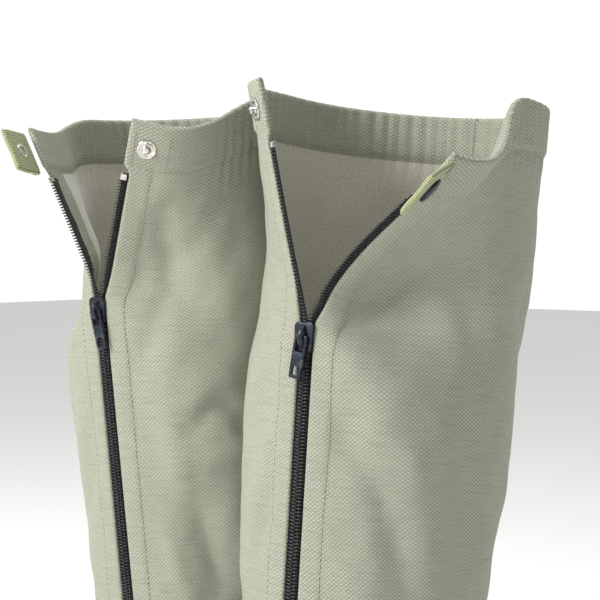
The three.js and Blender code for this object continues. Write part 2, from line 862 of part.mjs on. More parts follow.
function clothPieces(gaiter, name) {
  const topLow = topHeight - hemDepth + elasticMargin;
  const topHigh = topHeight - elasticMargin;
  return [
    piece(name('outer_panel'), panel(gaiter, 1), fabric),
    piece(name('inner_panel'), panel(gaiter, -1), fabric),
    piece(name('top_hem'), topHem(gaiter), fabric),
    piece(name('top_elastic'), elasticBand(gaiter, topLow, topHigh), liningElastic),
    piece(name('foot_hem'), footHemWithHoles(gaiter), fabric),
    piece(name('foot_elastic'), footElastic(gaiter), liningElastic),
    piece(name('closed_chain'), zipChain(gaiter), blackNylon),
    piece(name('bottom_stop'), bottomStop(gaiter), nickel),
    piece(name('outer_tape'), lowerTape(gaiter, 1), blackNylon),
    piece(name('inner_tape'), lowerTape(gaiter, -1), blackNylon),
  ];
}

function strapPieces(name) {
  return [
    piece(name('lace_hook'), laceHook(), nickel),
    piece(name('long_strap'), longStrap(), coatedStrap),
    piece(name('buckle_strap'), shortStrap(), coatedStrap),
    piece(name('outer_rivet'), strapRivet(1), nickel),
    piece(name('inner_rivet'), strapRivet(-1), nickel),
    piece(name('buckle_frame'), buckleFrame(), nickel),
    piece(name('buckle_prong'), buckleProng(), nickel),
  ];
}

function buildGaiter(gaiter) {
  const name = (part) => `${gaiter.name}_${part}`;
  const leg = new THREE.Group();
  leg.add(...clothPieces(gaiter, name), ...strapPieces(name));
  const upper = new THREE.Group();
  upper.quaternion.copy(leanTurn(gaiter));
  upper.position.copy(leanCentre).sub(leanCentre.clone().applyQuaternion(upper.quaternion));
  upper.add(overlapFlap(gaiter, name), innerFlap(gaiter, name), sliderGroup(gaiter, name));
  leg.add(upper);
  leg.scale.x = gaiter.side;
  leg.rotation.z = degrees(gaiter.side * gaiter.toeOut);
  leg.position.set((gaiter.side * footSpacing) / 2, -gaiter.side * stride, 0);
  return leg;
}

const pair = new THREE.Group();
pair.add(...gaiters.map(buildGaiter));

// The frame's origin is the middle of the foot of the pair's bounding box.
const bounds = new THREE.Box3().setFromObject(pair, true);
const centre = bounds.getCenter(vec(0, 0, 0));
pair.position.set(-centre.x, -centre.y, -bounds.min.z);

export default pair;
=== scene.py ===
# A pair of zip-fronted hiking gaiters, standing as worn and unzipped part of the way.
# The work is in millimetres, in each gaiter's own axes: x to the outer side of the leg, y to the
# heel, z up from the floor. toFrame() takes it to the frame, in metres.
import json
import math

import bmesh
import bpy
import numpy as np
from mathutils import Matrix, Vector, noise


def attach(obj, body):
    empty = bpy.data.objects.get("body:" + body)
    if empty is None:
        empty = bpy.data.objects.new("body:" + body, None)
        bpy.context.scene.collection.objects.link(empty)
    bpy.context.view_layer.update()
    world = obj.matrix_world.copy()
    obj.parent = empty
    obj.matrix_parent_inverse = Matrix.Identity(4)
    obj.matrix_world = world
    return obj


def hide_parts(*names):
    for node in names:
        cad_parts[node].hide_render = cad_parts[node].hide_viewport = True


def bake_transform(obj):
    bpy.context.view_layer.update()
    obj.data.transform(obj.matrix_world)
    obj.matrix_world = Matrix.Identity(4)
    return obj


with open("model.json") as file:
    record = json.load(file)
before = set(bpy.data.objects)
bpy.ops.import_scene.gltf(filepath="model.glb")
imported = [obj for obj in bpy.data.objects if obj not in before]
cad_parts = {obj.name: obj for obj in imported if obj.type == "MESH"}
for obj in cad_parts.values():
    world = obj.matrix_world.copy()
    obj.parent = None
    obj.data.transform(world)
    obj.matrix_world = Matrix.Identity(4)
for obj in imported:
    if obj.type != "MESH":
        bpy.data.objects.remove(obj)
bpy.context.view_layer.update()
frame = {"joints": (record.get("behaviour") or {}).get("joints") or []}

joints = {joint["name"]: joint for joint in frame["joints"]}

# Driving sizes of the tube of cloth, as in the CAD part.
topHeight = 430
footHeight = 32
calfRadius = 82
calfHeight = 312
taper = 0.0606
ankleHeight = 110
instepReach = 24
ankleNip = 4
footSpacing = 147
stride = 17
outwardLean = 2.8
leanCentre = np.array([0, 0, 60])
hemDepth = 30
footHemDepth = 25
edgeStart = 5.0
hemEdge = 0.8
stripEnd = 20.0
chainEndBelowTop = 40
sliderLength = 17
studSetBack = 13
studBelowTop = 17
tabRise = 3.2
coilPitch = 2.0

# Each open flap runs from the slider to its top corner, bowed by a few millimetres on its way,
# and curls away from the zip behind its edge.
gaiters = [
    {
        "name": "left", "side": 1, "lean": 5.5, "toeOut": 3, "openLength": 139, "tabFold": 50,
        "seed": 3.1,
        "overlap": {"across": 117, "out": 27, "rise": 112, "turn": 50, "bow": (-5, 0, 5), "curl": 0.012},
        "stud": {"across": 25, "out": 36, "rise": 140, "turn": 35, "bow": (1, 0, 0), "curl": 0.004},
    },
    {
        "name": "right", "side": -1, "lean": -1, "toeOut": 0, "openLength": 121, "tabFold": 10,
        "seed": 7.7,
        "overlap": {"across": 50, "out": 8, "rise": 112, "turn": 58, "bow": (0, 0, 0), "curl": 0.006},
        "stud": {"across": 58, "out": 20, "rise": 114, "turn": 35, "bow": (0, 0, 0), "curl": 0.0},
    },
]
halves = {1: "overlap", -1: "stud"}


def unit(v):
    v = np.asarray(v, float)
    return v / np.linalg.norm(v, axis=-1, keepdims=True)


def smooth(x, low, high):
    t = np.clip((np.asarray(x, float) - low) / (high - low), 0, 1)
    return t * t * (3 - 2 * t)


# ---- places ----
def tubePoint(half, angle, height):
    opened = 1 - smooth(height, footHeight, ankleHeight)
    radius = calfRadius - taper * np.maximum(0, calfHeight - height)
    across = radius - ankleNip * opened
    along = radius + np.where(np.cos(angle) > 0, instepReach * opened ** 2, 0)
    return np.stack(np.broadcast_arrays(
        half * across * np.sin(angle), -along * np.cos(angle), height), -1)


def sliderHeight(gaiter):
    return topHeight - gaiter["openLength"]


def sliderPoint(gaiter):
    return tubePoint(1, 0.0, float(sliderHeight(gaiter)))


def flapAxes(gaiter, half):
    flap = gaiter[halves[half]]
    edge = unit([half * flap["across"], -flap["out"], flap["rise"]])
    turn = math.radians(flap["turn"])
    into = np.array([half * math.cos(turn), math.sin(turn), 0])
    into = unit(into - into.dot(edge) * edge)
    return into, edge, np.cross(into, edge) * half


# The front line of one half: down the zip below the slider, along the open flap above it.
def edgeLine(gaiter, half, heights):
    flap = gaiter[halves[half]]
    start = sliderHeight(gaiter)
    edge = flapAxes(gaiter, half)[1]
    rise = np.maximum(heights - start, 0)[:, None]
    t = np.clip(rise / gaiter["openLength"], 0, 1)
    bow = np.array([half * flap["bow"][0], -flap["bow"][1], flap["bow"][2]])
    onFlap = sliderPoint(gaiter) + edge * rise + bow * 6.75 * t * (1 - t) ** 2
    return np.where(rise > 0, onFlap, tubePoint(half, 0.0, heights))


# How far the cloth has turned from the closed tube to the open flap: the fold spreads from the slider.
def openShare(gaiter, heights, a=0.0):
    start = sliderHeight(gaiter)
    return smooth(heights, start - 4 - 0.75 * a, start + 26 + 0.45 * a)


def closedBend(heights):
    across = tubePoint(1, math.pi / 2, heights)[:, 0]
    along = -tubePoint(1, 0.0, heights)[:, 1]
    return along / (2 * across ** 2)


# Points beside the zip: a into the fabric, n out of its face, for each height.
def besideZip(gaiter, half, heights, a, n):
    heights = np.asarray(heights, float)
    base = edgeLine(gaiter, half, heights)
    share = openShare(gaiter, heights, a)[:, None]
    front = unit(tubePoint(half, 0.0, heights + 1) - tubePoint(half, 0.0, heights - 1))
    tangent = unit((1 - share) * front + share * flapAxes(gaiter, half)[1])
    into = (1 - share) * np.array([half, 0, 0]) + share * flapAxes(gaiter, half)[0]
    into = unit(into - (into * tangent).sum(-1, keepdims=True) * tangent)
    face = np.cross(into, tangent) * half
    a = np.broadcast_to(a, heights.shape)[:, None]
    n = np.broadcast_to(n, heights.shape)[:, None]
    return base + a * into + n * face, into, face


def leaned(gaiter, points):
    share = smooth(points[..., 2], footHeight, ankleHeight - 10)
    p = points - leanCentre
    back = np.radians(-gaiter["lean"]) * share
    out = np.radians(outwardLean) * share
    x = p[..., 0] * np.cos(out) + p[..., 2] * np.sin(out)
    z = p[..., 2] * np.cos(out) - p[..., 0] * np.sin(out)
    y = p[..., 1] * np.cos(back) - z * np.sin(back)
    z = p[..., 1] * np.sin(back) + z * np.cos(back)
    return np.stack([x, y, z], -1) + leanCentre


def placed(gaiter, points):
    side = gaiter["side"]
    turn = math.radians(side * gaiter["toeOut"])
    x = points[..., 0] * side
    y = points[..., 1]
    return np.stack([
        x * math.cos(turn) - y * math.sin(turn) + side * footSpacing / 2,
        x * math.sin(turn) + y * math.cos(turn) - side * stride,
        points[..., 2],
    ], -1)


# The CAD frame's origin, found from the place of the left gaiter's slider.
def frameShift():
    left = gaiters[0]
    here = placed(left, leaned(left, sliderPoint(left)[None]))[0]
    return np.array(joints["left_overlap_hinge"]["pos_m"]) * 1000 - here


shift = frameShift()


def toFrame(gaiter, points, lean=True):
    points = np.asarray(points, float)
    if lean:
        points = leaned(gaiter, points)
    return (placed(gaiter, points) + shift) / 1000


# ---- meshes ----
def makeMesh(name, points, faces, material, uv=None, flat=False):
    mesh = bpy.data.meshes.new(name)
    mesh.from_pydata([tuple(p) for p in points], [], [tuple(int(i) for i in f) for f in faces])
    if uv is not None:
        layer = mesh.uv_layers.new(name="cloth")
        corners = np.zeros(len(mesh.loops), np.int32)
        mesh.loops.foreach_get("vertex_index", corners)
        layer.data.foreach_set("uv", np.asarray(uv, np.float32)[corners].ravel())
    piece = bpy.data.objects.new(name, mesh)
    bpy.context.scene.collection.objects.link(piece)
    for entry in material if isinstance(material, list) else [material]:
        mesh.materials.append(entry)
    outward(mesh)
    mesh.shade_flat() if flat else mesh.shade_smooth()
    return piece


def outward(mesh):
    work = bmesh.new()
    work.from_mesh(mesh)
    bmesh.ops.recalc_face_normals(work, faces=work.faces[:])
    work.to_mesh(mesh)
    work.free()


def sharpen(piece, angle=35):
    piece.data.shade_smooth()
    piece.data.set_sharp_from_angle(angle=math.radians(angle))


def gridFaces(rows, columns, start=0, wrapColumns=False):
    r = np.arange(rows - 1)[:, None]
    c = np.arange(columns if wrapColumns else columns - 1)[None, :]
    nextC = (c + 1) % columns
    quad = [r * columns + c, r * columns + nextC, (r + 1) * columns + nextC, (r + 1) * columns + c]
    return np.stack(np.broadcast_arrays(*quad), -1).reshape(-1, 4) + start


# A closed shell between two grids of the same size, as points, faces and corner bookkeeping.
def shellFaces(rows, columns):
    outer = gridFaces(rows, columns)
    inner = gridFaces(rows, columns, rows * columns)[:, ::-1]
    rim = [r * columns for r in range(rows)]
    rim += [(rows - 1) * columns + c for c in range(1, columns)]
    rim += [r * columns + columns - 1 for r in range(rows - 2, -1, -1)]
    rim += list(range(columns - 2, 0, -1))
    rim = np.array(rim)
    after = np.roll(rim, -1)
    sides = np.stack([rim, after, after + rows * columns, rim + rows * columns], -1)
    return np.concatenate([outer, inner, sides[:, ::-1]])


# A round or flat bar along a path. side gives the direction of the section's width.
def tubeMesh(path, width, height, side, sides=6, capped=True):
    path = np.asarray(path, float)
    tangent = unit(np.gradient(path, axis=0))
    side = np.broadcast_to(np.asarray(side, float), path.shape)
    across = unit(side - (side * tangent).sum(-1, keepdims=True) * tangent)
    up = np.cross(tangent, across)
    angles = np.arange(sides) * 2 * math.pi / sides
    ring = (across[:, None] * (np.cos(angles) * width)[None, :, None]
            + up[:, None] * (np.sin(angles) * height)[None, :, None])
    points = (path[:, None] + ring).reshape(-1, 3)
    faces = [tuple(f) for f in gridFaces(len(path), sides, 0, True)]
    if capped:
        faces.append(tuple(range(sides)))
        faces.append(tuple(range(len(points) - sides, len(points)))[::-1])
    return points, faces


def joinMeshes(parts):
    points, faces, start = [], [], 0
    for partPoints, partFaces in parts:
        points.append(np.asarray(partPoints))
        faces += [tuple(i + start for i in face) for face in partFaces]
        start += len(partPoints)
    return np.concatenate(points), faces


# A turned piece on the local n axis, from (radius, height) pairs.
def latheMesh(profile, sides=40):
    angles = np.arange(sides) * 2 * math.pi / sides
    rings = [np.stack([r * np.cos(angles), r * np.sin(angles), np.full(sides, h)], -1)
             for r, h in profile]
    faces = [tuple(f) for f in gridFaces(len(rings), sides, 0, True)]
    points = np.concatenate(rings)
    faces.append(tuple(range(sides)))
    faces.append(tuple(range(len(points) - sides, len(points)))[::-1])
    return points, faces


def arcPoints(centre, radius, start, end, count):
    angles = np.radians(np.linspace(start, end, count))
    return [(centre[0] + radius * math.cos(a), centre[1] + radius * math.sin(a)) for a in angles]


def roundedBox(halfWidth, low, high, radius, count=5):
    corners = [
        (halfWidth - radius, high - radius, 0), (radius - halfWidth, high - radius, 90),
        (radius - halfWidth, low + radius, 180), (halfWidth - radius, low + radius, 270)]
    return [p for x, y, a in corners for p in arcPoints((x, y), radius, a, a + 90, count)]


# A plate cut to an outline, with holes and softened edges: x and y in its plane, z its thickness.
def plateObject(name, outline, holes, low, high, bevel, material):
    work = bmesh.new()
    loops = []
    for loop in [outline, *holes]:
        ring = [work.verts.new((x, y, low)) for x, y in loop]
        loops += [work.edges.new((ring[i], ring[(i + 1) % len(ring)])) for i in range(len(ring))]
    bmesh.ops.triangle_fill(work, edges=loops, use_beauty=True)
    grown = bmesh.ops.extrude_face_region(work, geom=work.faces[:])
    moved = [v for v in grown["geom"] if isinstance(v, bmesh.types.BMVert)]
    bmesh.ops.translate(work, verts=moved, vec=(0, 0, high - low))
    bmesh.ops.recalc_face_normals(work, faces=work.faces[:])
    bmesh.ops.dissolve_limit(work, angle_limit=0.01, verts=work.verts[:], edges=work.edges[:])
    rims = [e for e in work.edges if len(e.link_faces) == 2 and e.calc_face_angle() > 1.2
            and abs(e.verts[0].co.z - e.verts[1].co.z) < 1e-6]
    if bevel > 0:
        bmesh.ops.bevel(work, geom=rims, offset=bevel, segments=2, affect="EDGES", profile=0.6)
    bmesh.ops.triangulate(work, faces=[f for f in work.faces if len(f.verts) > 4])
    mesh = bpy.data.meshes.new(name)
    work.to_mesh(mesh)
    work.free()
    mesh.materials.append(material)
    piece = bpy.data.objects.new(name, mesh)
    bpy.context.scene.collection.objects.link(piece)
    return piece


def meshArrays(piece):
    co = np.zeros(len(piece.data.vertices) * 3)
    piece.data.vertices.foreach_get("co", co)
    return co.reshape(-1, 3)


# Moves an object's mesh by a function of its points.
def remap(piece, place):
    co = place(meshArrays(piece))
    piece.data.vertices.foreach_set("co", np.asarray(co, np.float32).ravel())
    piece.data.update()
    outward(piece.data)
    return piece


# Local axes on a flap: x into the fabric, y up the edge, z out of the face.
def onFlap(gaiter, half, points, a=0.0, h=0.0, n=0.0, fold=0.0):
    into, edge, face = flapAxes(gaiter, half)
    c, s = math.cos(fold), math.sin(fold)
    x, y, z = points[..., 0] + a, points[..., 1] + h, points[..., 2]
    x, z = x * c + z * s, z * c - x * s
    local = x[..., None] * into + y[..., None] * edge + (z + n)[..., None] * face
    return toFrame(gaiter, sliderPoint(gaiter) + local)


# Local axes on the closed zip: x across, y up, z out; origin at the slider's top.
def onFront(gaiter, points):
    up = unit([0, -taper, 1])
    across = np.array([1.0, 0, 0])
    out = np.cross(across, up)
    local = points[..., 0:1] * across + points[..., 1:2] * up + points[..., 2:3] * out
    return toFrame(gaiter, sliderPoint(gaiter) + local)


# ---- materials ----
def linear(code):
    parts = [int(code[i:i + 2], 16) / 255 for i in (0, 2, 4)]
    return (*[p / 12.92 if p < 0.04045 else ((p + 0.055) / 1.055) ** 2.4 for p in parts], 1)


class Shader:
    def __init__(self, name):
        self.material = bpy.data.materials.new(name)
        self.material.use_nodes = True
        self.tree = self.material.node_tree
        self.surface = self.tree.nodes["Principled BSDF"]

    def add(self, kind, values=None, **settings):
        node = self.tree.nodes.new(kind)
        for key, value in settings.items():
            setattr(node, key, value)
        for socket, value in (values or {}).items():
            self.set(node, socket, value)
        return node

    def set(self, node, socket, value):
        if isinstance(value, bpy.types.NodeSocket):
            self.tree.links.new(value, node.inputs[socket])
        else:
            node.inputs[socket].default_value = value

    def math(self, operation, a, b=0.0):
        node = self.add("ShaderNodeMath", {0: a, 1: b}, operation=operation)
        return node.outputs[0]

    def ramp(self, value, low, high, outLow=0.0, outHigh=1.0):
        values = {"Value": value, "From Min": low, "From Max": high, "To Min": outLow, "To Max": outHigh}
        return self.add("ShaderNodeMapRange", values, interpolation_type="SMOOTHSTEP").outputs["Result"]

    def mix(self, share, first, second):
        node = self.add("ShaderNodeMix", data_type="RGBA")
        self.set(node, 0, share)
        self.set(node, 6, first)
        self.set(node, 7, second)
        return node.outputs[2]

    def noise(self, vector, scale, detail=3.0, roughness=0.5):
        values = {"Vector": vector, "Scale": scale, "Detail": detail, "Roughness": roughness}
        return self.add("ShaderNodeTexNoise", values).outputs["Fac"]

    def bump(self, height, strength, distance, normal=None):
        values = {"Height": height, "Strength": strength, "Distance": distance}
        if normal is not None:
            values["Normal"] = normal
        return self.add("ShaderNodeBump", values).outputs["Normal"]

    def finish(self, **values):
        for socket, value in values.items():
            self.set(self.surface, socket.replace("_", " "), value)
        return self.material


# A plain weave on the cloth's own map, which counts in tenths of a metre. Pale weft crowns lie in
# rows, darker warp crowns between them, and a pinhole at each corner.
def faceFabric(name, pale, mid, dark):
    shader = Shader(name)
    place = shader.add("ShaderNodeUVMap", uv_map="cloth").outputs["UV"]
    parts = shader.add("ShaderNodeSeparateXYZ", {0: place})
    drift = shader.math("MULTIPLY", shader.noise(place, 5.0, 2.0), 2.0)
    ends = shader.math("ADD", shader.math("MULTIPLY", parts.outputs["X"], 2 * math.pi * 100 / 3.0), drift)
    picks = shader.math("ADD", shader.math("MULTIPLY", parts.outputs["Y"], 2 * math.pi * 100 / 2.3), drift)
    across = shader.math("SINE", shader.math("ADD", ends, shader.math("MULTIPLY", picks, 0.10)))
    along = shader.math("SINE", shader.math("SUBTRACT", picks, shader.math("MULTIPLY", ends, 0.08)))
    cross = shader.math("MULTIPLY", across, along)
    corner = shader.math("ADD", shader.math("ABSOLUTE", across), shader.math("ABSOLUTE", along))
    pinhole = shader.ramp(corner, 0.25, 0.95, 1.0, 0.0)
    crown = shader.ramp(cross, -0.5, 0.45)
    fibre = shader.noise(place, 70.0, 2.0, 0.7)
    streak = shader.add("ShaderNodeMapping", {"Vector": place, "Scale": (5, 75, 1)}).outputs[0]
    slub = shader.noise(streak, 1.0, 3.0, 0.6)
    color = shader.mix(crown, linear(mid), linear(pale))
    color = shader.mix(shader.math("MULTIPLY", pinhole, 0.75), color, linear(dark))
    color = shader.mix(shader.ramp(fibre, 0.35, 0.7, 0.0, 0.35), color, linear(mid))
    color = shader.mix(shader.ramp(slub, 0.4, 0.8, 0.0, 0.25), color, linear(dark))
    cloud = shader.ramp(shader.noise(place, 1.6, 3.0), 0.3, 0.7, 0.0, 0.15)
    color = shader.mix(cloud, color, linear(mid))
    raised = shader.math("SUBTRACT", shader.math("MULTIPLY", crown, 0.6), pinhole)
    normal = shader.bump(slub, 0.12, 0.0003, shader.bump(raised, 0.5, 0.0003))
    return shader.finish(Base_Color=color, Roughness=shader.ramp(fibre, 0.2, 0.8, 0.72, 0.9), Normal=normal,
                         Sheen_Weight=0.2, Sheen_Roughness=0.45, Sheen_Tint=linear("cfd2c0"), IOR=1.5)


def lining():
    shader = Shader("light grey fleece lining")
    place = shader.add("ShaderNodeUVMap", uv_map="cloth").outputs["UV"]
    nap = shader.noise(place, 90.0, 4.0, 0.7)
    patch = shader.noise(place, 4.0, 3.0)
    color = shader.mix(shader.ramp(nap, 0.3, 0.75), linear("9b9a8c"), linear("cfcdc0"))
    color = shader.mix(shader.ramp(patch, 0.35, 0.65, 0.0, 0.3), color, linear("b6b4a6"))
    return shader.finish(Base_Color=color, Roughness=0.95, Normal=shader.bump(nap, 0.5, 0.0005),
                         Sheen_Weight=0.5, Sheen_Roughness=0.5, IOR=1.5)


def objectPlace(shader):
    return shader.add("ShaderNodeTexCoord").outputs["Object"]


def webbing():
    shader = Shader("ribbed olive webbing")
    place = shader.add("ShaderNodeUVMap", uv_map="cloth").outputs["UV"]
    parts = shader.add("ShaderNodeSeparateXYZ", {0: place})
    rib = shader.math("SINE", shader.math("MULTIPLY", parts.outputs["X"], 2 * math.pi * 100 / 1.5))
    pick = shader.math("SINE", shader.math("MULTIPLY", parts.outputs["Y"], 2 * math.pi * 100 / 1.1))
    height = shader.math("ADD", rib, shader.math("MULTIPLY", pick, 0.45))
    fibre = shader.noise(place, 160.0, 3.0)
    color = shader.mix(shader.ramp(height, -1.2, 1.0), linear("5c6238"), linear("b4ba88"))
    color = shader.mix(shader.ramp(fibre, 0.45, 0.75, 0.0, 0.35), color, linear("d4d8b0"))
    return shader.finish(Base_Color=color, Roughness=0.62, Normal=shader.bump(height, 0.7, 0.0003),
                         Sheen_Weight=0.2, IOR=1.52)


def tapeCloth():
    shader = Shader("black woven zip tape")
    place = objectPlace(shader)
    rib = shader.add("ShaderNodeTexWave", {"Vector": place, "Scale": 900.0, "Distortion": 1.5},
                     bands_direction="Z").outputs["Fac"]
    fibre = shader.noise(place, 4000.0, 2.0)
    color = shader.mix(rib, linear("08080a"), linear("222326"))
    return shader.finish(Base_Color=color, Roughness=shader.ramp(fibre, 0.3, 0.7, 0.7, 0.9),
                         Normal=shader.bump(rib, 0.4, 0.0002), IOR=1.5)


def coilNylon():
    shader = Shader("black nylon coil")
    place = objectPlace(shader)
    wear = shader.noise(place, 260.0, 3.0)
    color = shader.mix(shader.ramp(wear, 0.4, 0.75), linear("0c0d10"), linear("24262b"))
    return shader.finish(Base_Color=color, Roughness=shader.ramp(wear, 0.3, 0.7, 0.24, 0.42), IOR=1.53,
                         Normal=shader.bump(shader.noise(place, 2500.0), 0.08, 0.0001))


def paintedMetal(name, low, high, roughness):
    shader = Shader(name)
    place = objectPlace(shader)
    speck = shader.noise(place, 1800.0, 3.0, 0.6)
    rub = shader.ramp(shader.noise(place, 180.0, 4.0), 0.58, 0.72)
    color = shader.mix(shader.ramp(speck, 0.3, 0.7), linear(low), linear(high))
    color = shader.mix(shader.math("MULTIPLY", rub, 0.35), color, linear("7a7f88"))
    return shader.finish(Base_Color=color, Metallic=0.75, IOR=1.5,
                         Roughness=shader.ramp(speck, 0.2, 0.8, roughness - 0.06, roughness + 0.1),
                         Normal=shader.bump(speck, 0.1, 0.0001))


def platedMetal():
    shader = Shader("nickel plate")
    place = objectPlace(shader)
    haze = shader.noise(place, 420.0, 4.0, 0.6)
    color = shader.mix(shader.ramp(haze, 0.35, 0.7), linear("c9c7c0"), linear("a5a39c"))
    return shader.finish(Base_Color=color, Metallic=1.0, Roughness=shader.ramp(haze, 0.3, 0.75, 0.16, 0.34),
                         Normal=shader.bump(haze, 0.05, 0.0001))


def sewingThread():
    shader = Shader("grey green sewing thread")
    place = objectPlace(shader)
    ply = shader.add("ShaderNodeTexWave", {"Vector": place, "Scale": 1400.0, "Distortion": 2.0},
                     bands_direction="DIAGONAL").outputs["Fac"]
    color = shader.mix(ply, linear("6c6e5c"), linear("b4b6a2"))
    return shader.finish(Base_Color=color, Roughness=0.6, Normal=shader.bump(ply, 0.4, 0.0001),
                         Sheen_Weight=0.2, IOR=1.53)


def coatedStrap():
    shader = Shader("black coated webbing")
    place = objectPlace(shader)
    grain = shader.add("ShaderNodeTexVoronoi", {"Vector": place, "Scale": 1400.0}).outputs["Distance"]
    scuff = shader.noise(place, 90.0, 4.0)
    color = shader.mix(shader.ramp(scuff, 0.5, 0.8), linear("121313"), linear("34352f"))
    return shader.finish(Base_Color=color, Roughness=shader.ramp(scuff, 0.3, 0.7, 0.38, 0.6),
                         Normal=shader.bump(grain, 0.25, 0.0002), IOR=1.5)


def backdropMaterial():
    shader = Shader("white studio floor")
    place = objectPlace(shader)
    cloud = shader.noise(place, 3.0)
    return shader.finish(Base_Color=shader.mix(cloud, linear("f7f7f5"), linear("fbfbfa")), Roughness=0.9)


fabricCloth = faceFabric("grey green plain weave", "a9ab98", "85877a", "4a4b42")
liningCloth = lining()
webbingCloth = webbing()
zipTape = tapeCloth()
zipCoil = coilNylon()
sliderPaint = paintedMetal("dark blue grey paint", "22262d", "343a44", 0.36)
capPaint = paintedMetal("glossy gunmetal", "1b1e24", "2b2f37", 0.2)
nickel = platedMetal()
thread = sewingThread()
strapCoat = coatedStrap()
print("materials made")


# ---- cloth ----
# Folds of the worn cloth: from and to as (distance round from the zip, height), width and depth.
folds = {
    ("left", 1): [
        ((24, 236), (52, 196), 9, -2.6), ((52, 196), (72, 146), 11, -3.4), ((40, 250), (74, 212), 9, 2.0),
        ((66, 220), (92, 150), 12, 2.6), ((96, 250), (112, 170), 11, -2.6), ((88, 330), (112, 268), 12, -2.4),
        ((60, 330), (84, 296), 10, 1.8), ((30, 150), (70, 116), 10, 2.2), ((60, 110), (110, 96), 11, -3.0),
        ((120, 180), (150, 130), 14, 2.6), ((150, 300), (200, 250), 16, -2.4), ((150, 210), (220, 160), 15, 2.4),
        ((36, 300), (52, 330), 8, -2.2)],
    ("left", -1): [
        ((20, 230), (40, 180), 9, 2.4), ((16, 190), (34, 150), 8, -2.4), ((34, 300), (50, 240), 10, 2.0),
        ((60, 360), (80, 300), 12, -2.2), ((50, 130), (90, 104), 11, -2.6), ((90, 260), (130, 200), 14, 2.4),
        ((150, 330), (210, 290), 15, -2.2)],
    ("right", 1): [
        ((20, 260), (42, 210), 9, 2.2), ((24, 200), (52, 160), 9, -2.4), ((60, 300), (90, 240), 12, -2.4),
        ((60, 120), (100, 100), 11, -2.6), ((110, 250), (160, 190), 14, 2.4)],
    ("right", -1): [
        ((30, 372), (46, 318), 9, -3.0), ((46, 318), (30, 270), 9, -2.2), ((64, 350), (86, 290), 13, 2.4),
        ((58, 226), (76, 240), 8, -3.4), ((76, 240), (96, 222), 8, -3.2), ((56, 206), (92, 206), 9, 3.0),
        ((40, 230), (48, 190), 9, 1.8), ((58, 172), (70, 128), 10, -4.2), ((84, 168), (104, 120), 11, 2.8),
        ((34, 160), (46, 120), 8, 2.2), ((60, 110), (100, 96), 10, -2.6), ((130, 300), (180, 240), 15, -2.4)],
}


def foldShape(x, h, fold):
    (x0, h0), (x1, h1), width, depth = fold
    dx, dh = x1 - x0, h1 - h0
    t = ((x - x0) * dx + (h - h0) * dh) / (dx * dx + dh * dh)
    nearest = np.clip(t, 0, 1)
    away = np.hypot(x - x0 - nearest * dx, h - h0 - nearest * dh)
    ends = 1 - 0.45 * np.abs(2 * nearest - 1) ** 2
    return depth * ends * np.exp(-(away / width) ** 2)


def noiseField(x, h, size, seed, stretch=1.0, slant=0.0):
    flat = zip(((x + slant * h) / size).ravel(), (h / size / stretch).ravel())
    values = [noise.noise((a, b, seed)) for a, b in flat]
    return np.array(values).reshape(x.shape)


def wrinkles(gaiter, half, x, h):
    start = sliderHeight(gaiter)
    free = smooth(x, 6, 26)
    calm = 1 - 0.7 * smooth(h, topHeight - hemDepth - 20, topHeight - hemDepth)
    seed = gaiter["seed"] + half
    height = sum(foldShape(x, h, fold) for fold in folds[gaiter["name"], half])
    height = height + 3.4 * noiseField(x, h, 62, seed, 1.5, 0.45)
    height = height + 1.3 * noiseField(x, h, 26, seed + 9, 1.7, -0.5)
    height = height + 0.35 * noiseField(x, h, 10, seed + 21, 1.3)
    height = height * free * calm
    # small puckers along the seams beside the zip
    pucker = np.exp(-((x - stripEnd + 2) / 5.0) ** 2) * noiseField(x * 0.3, h, 7, seed + 31)
    seamless = smooth(h, footHeight + footHemDepth, footHeight + footHemDepth + 15)
    height = height + 0.55 * pucker * seamless
    # gathers of the elastic hems, flat beside the zip
    gathered = smooth(x, 52, 84) * (0.7 + 0.3 * noiseField(x, h * 0, 30, seed + 3))
    drawn = 2 * math.pi * (x / 8.5 + 0.7 * noiseField(x, h * 0, 25, seed + 5))
    ripple = np.sin(drawn + 0.25 * np.sin(h / 6))
    nearTop = smooth(h, topHeight - hemDepth - 26, topHeight - hemDepth)
    nearFoot = 1 - smooth(h, footHeight + footHemDepth, footHeight + footHemDepth + 22)
    height = height + 0.9 * gathered * ripple * nearTop
    height = height + 0.8 * smooth(x, 30, 60) * ripple * nearFoot
    bulge = 1.6 * smooth(x, 24, 50) * (1 - smooth(h, start - 60, start + 30)) * smooth(h, 90, 140)
    return height + bulge


def clothColumns():
    strip = [edgeStart, edgeStart + 0.12, edgeStart + 0.4, edgeStart + 0.9, edgeStart + 1.6]
    strip += list(np.linspace(edgeStart + 2.6, stripEnd, 10))
    return np.array(strip), np.linspace(0, 1, 56)[1:], np.linspace(0, 1, 56)[1:]


def clothRows():
    ends = np.array([0, 0.15, 0.6, 1.3, 2.3])
    hemLow = footHeight + footHemDepth
    hemHigh = topHeight - hemDepth
    middle = np.linspace(footHeight + 4, topHeight - 4, 176)
    lines = np.concatenate([hemLow + np.array([-0.8, 0, 0.8]), hemHigh + np.array([-0.8, 0, 0.8])])
    far = np.abs(middle[:, None] - lines).min(1) > 1.0
    rows = np.concatenate([footHeight + ends, middle[far], lines, topHeight - ends])
    return np.sort(rows)


# The folded edge runs beside the chain, and above its end it reaches the tab's root.
def edgeShift(heights, column):
    hemFoot = topHeight - hemDepth
    reach = (edgeStart - hemEdge) * smooth(heights, hemFoot - 5, hemFoot + 1)
    return column - reach * (1 - (column - edgeStart) / (stripEnd - edgeStart))


def stripPoint(gaiter, half, heights, a, n=0.0):
    share = openShare(gaiter, heights, a)
    bend = (1 - share) * closedBend(heights) + share * gaiter[halves[half]]["curl"]
    return besideZip(gaiter, half, heights, a, n - bend * a * a)[0]


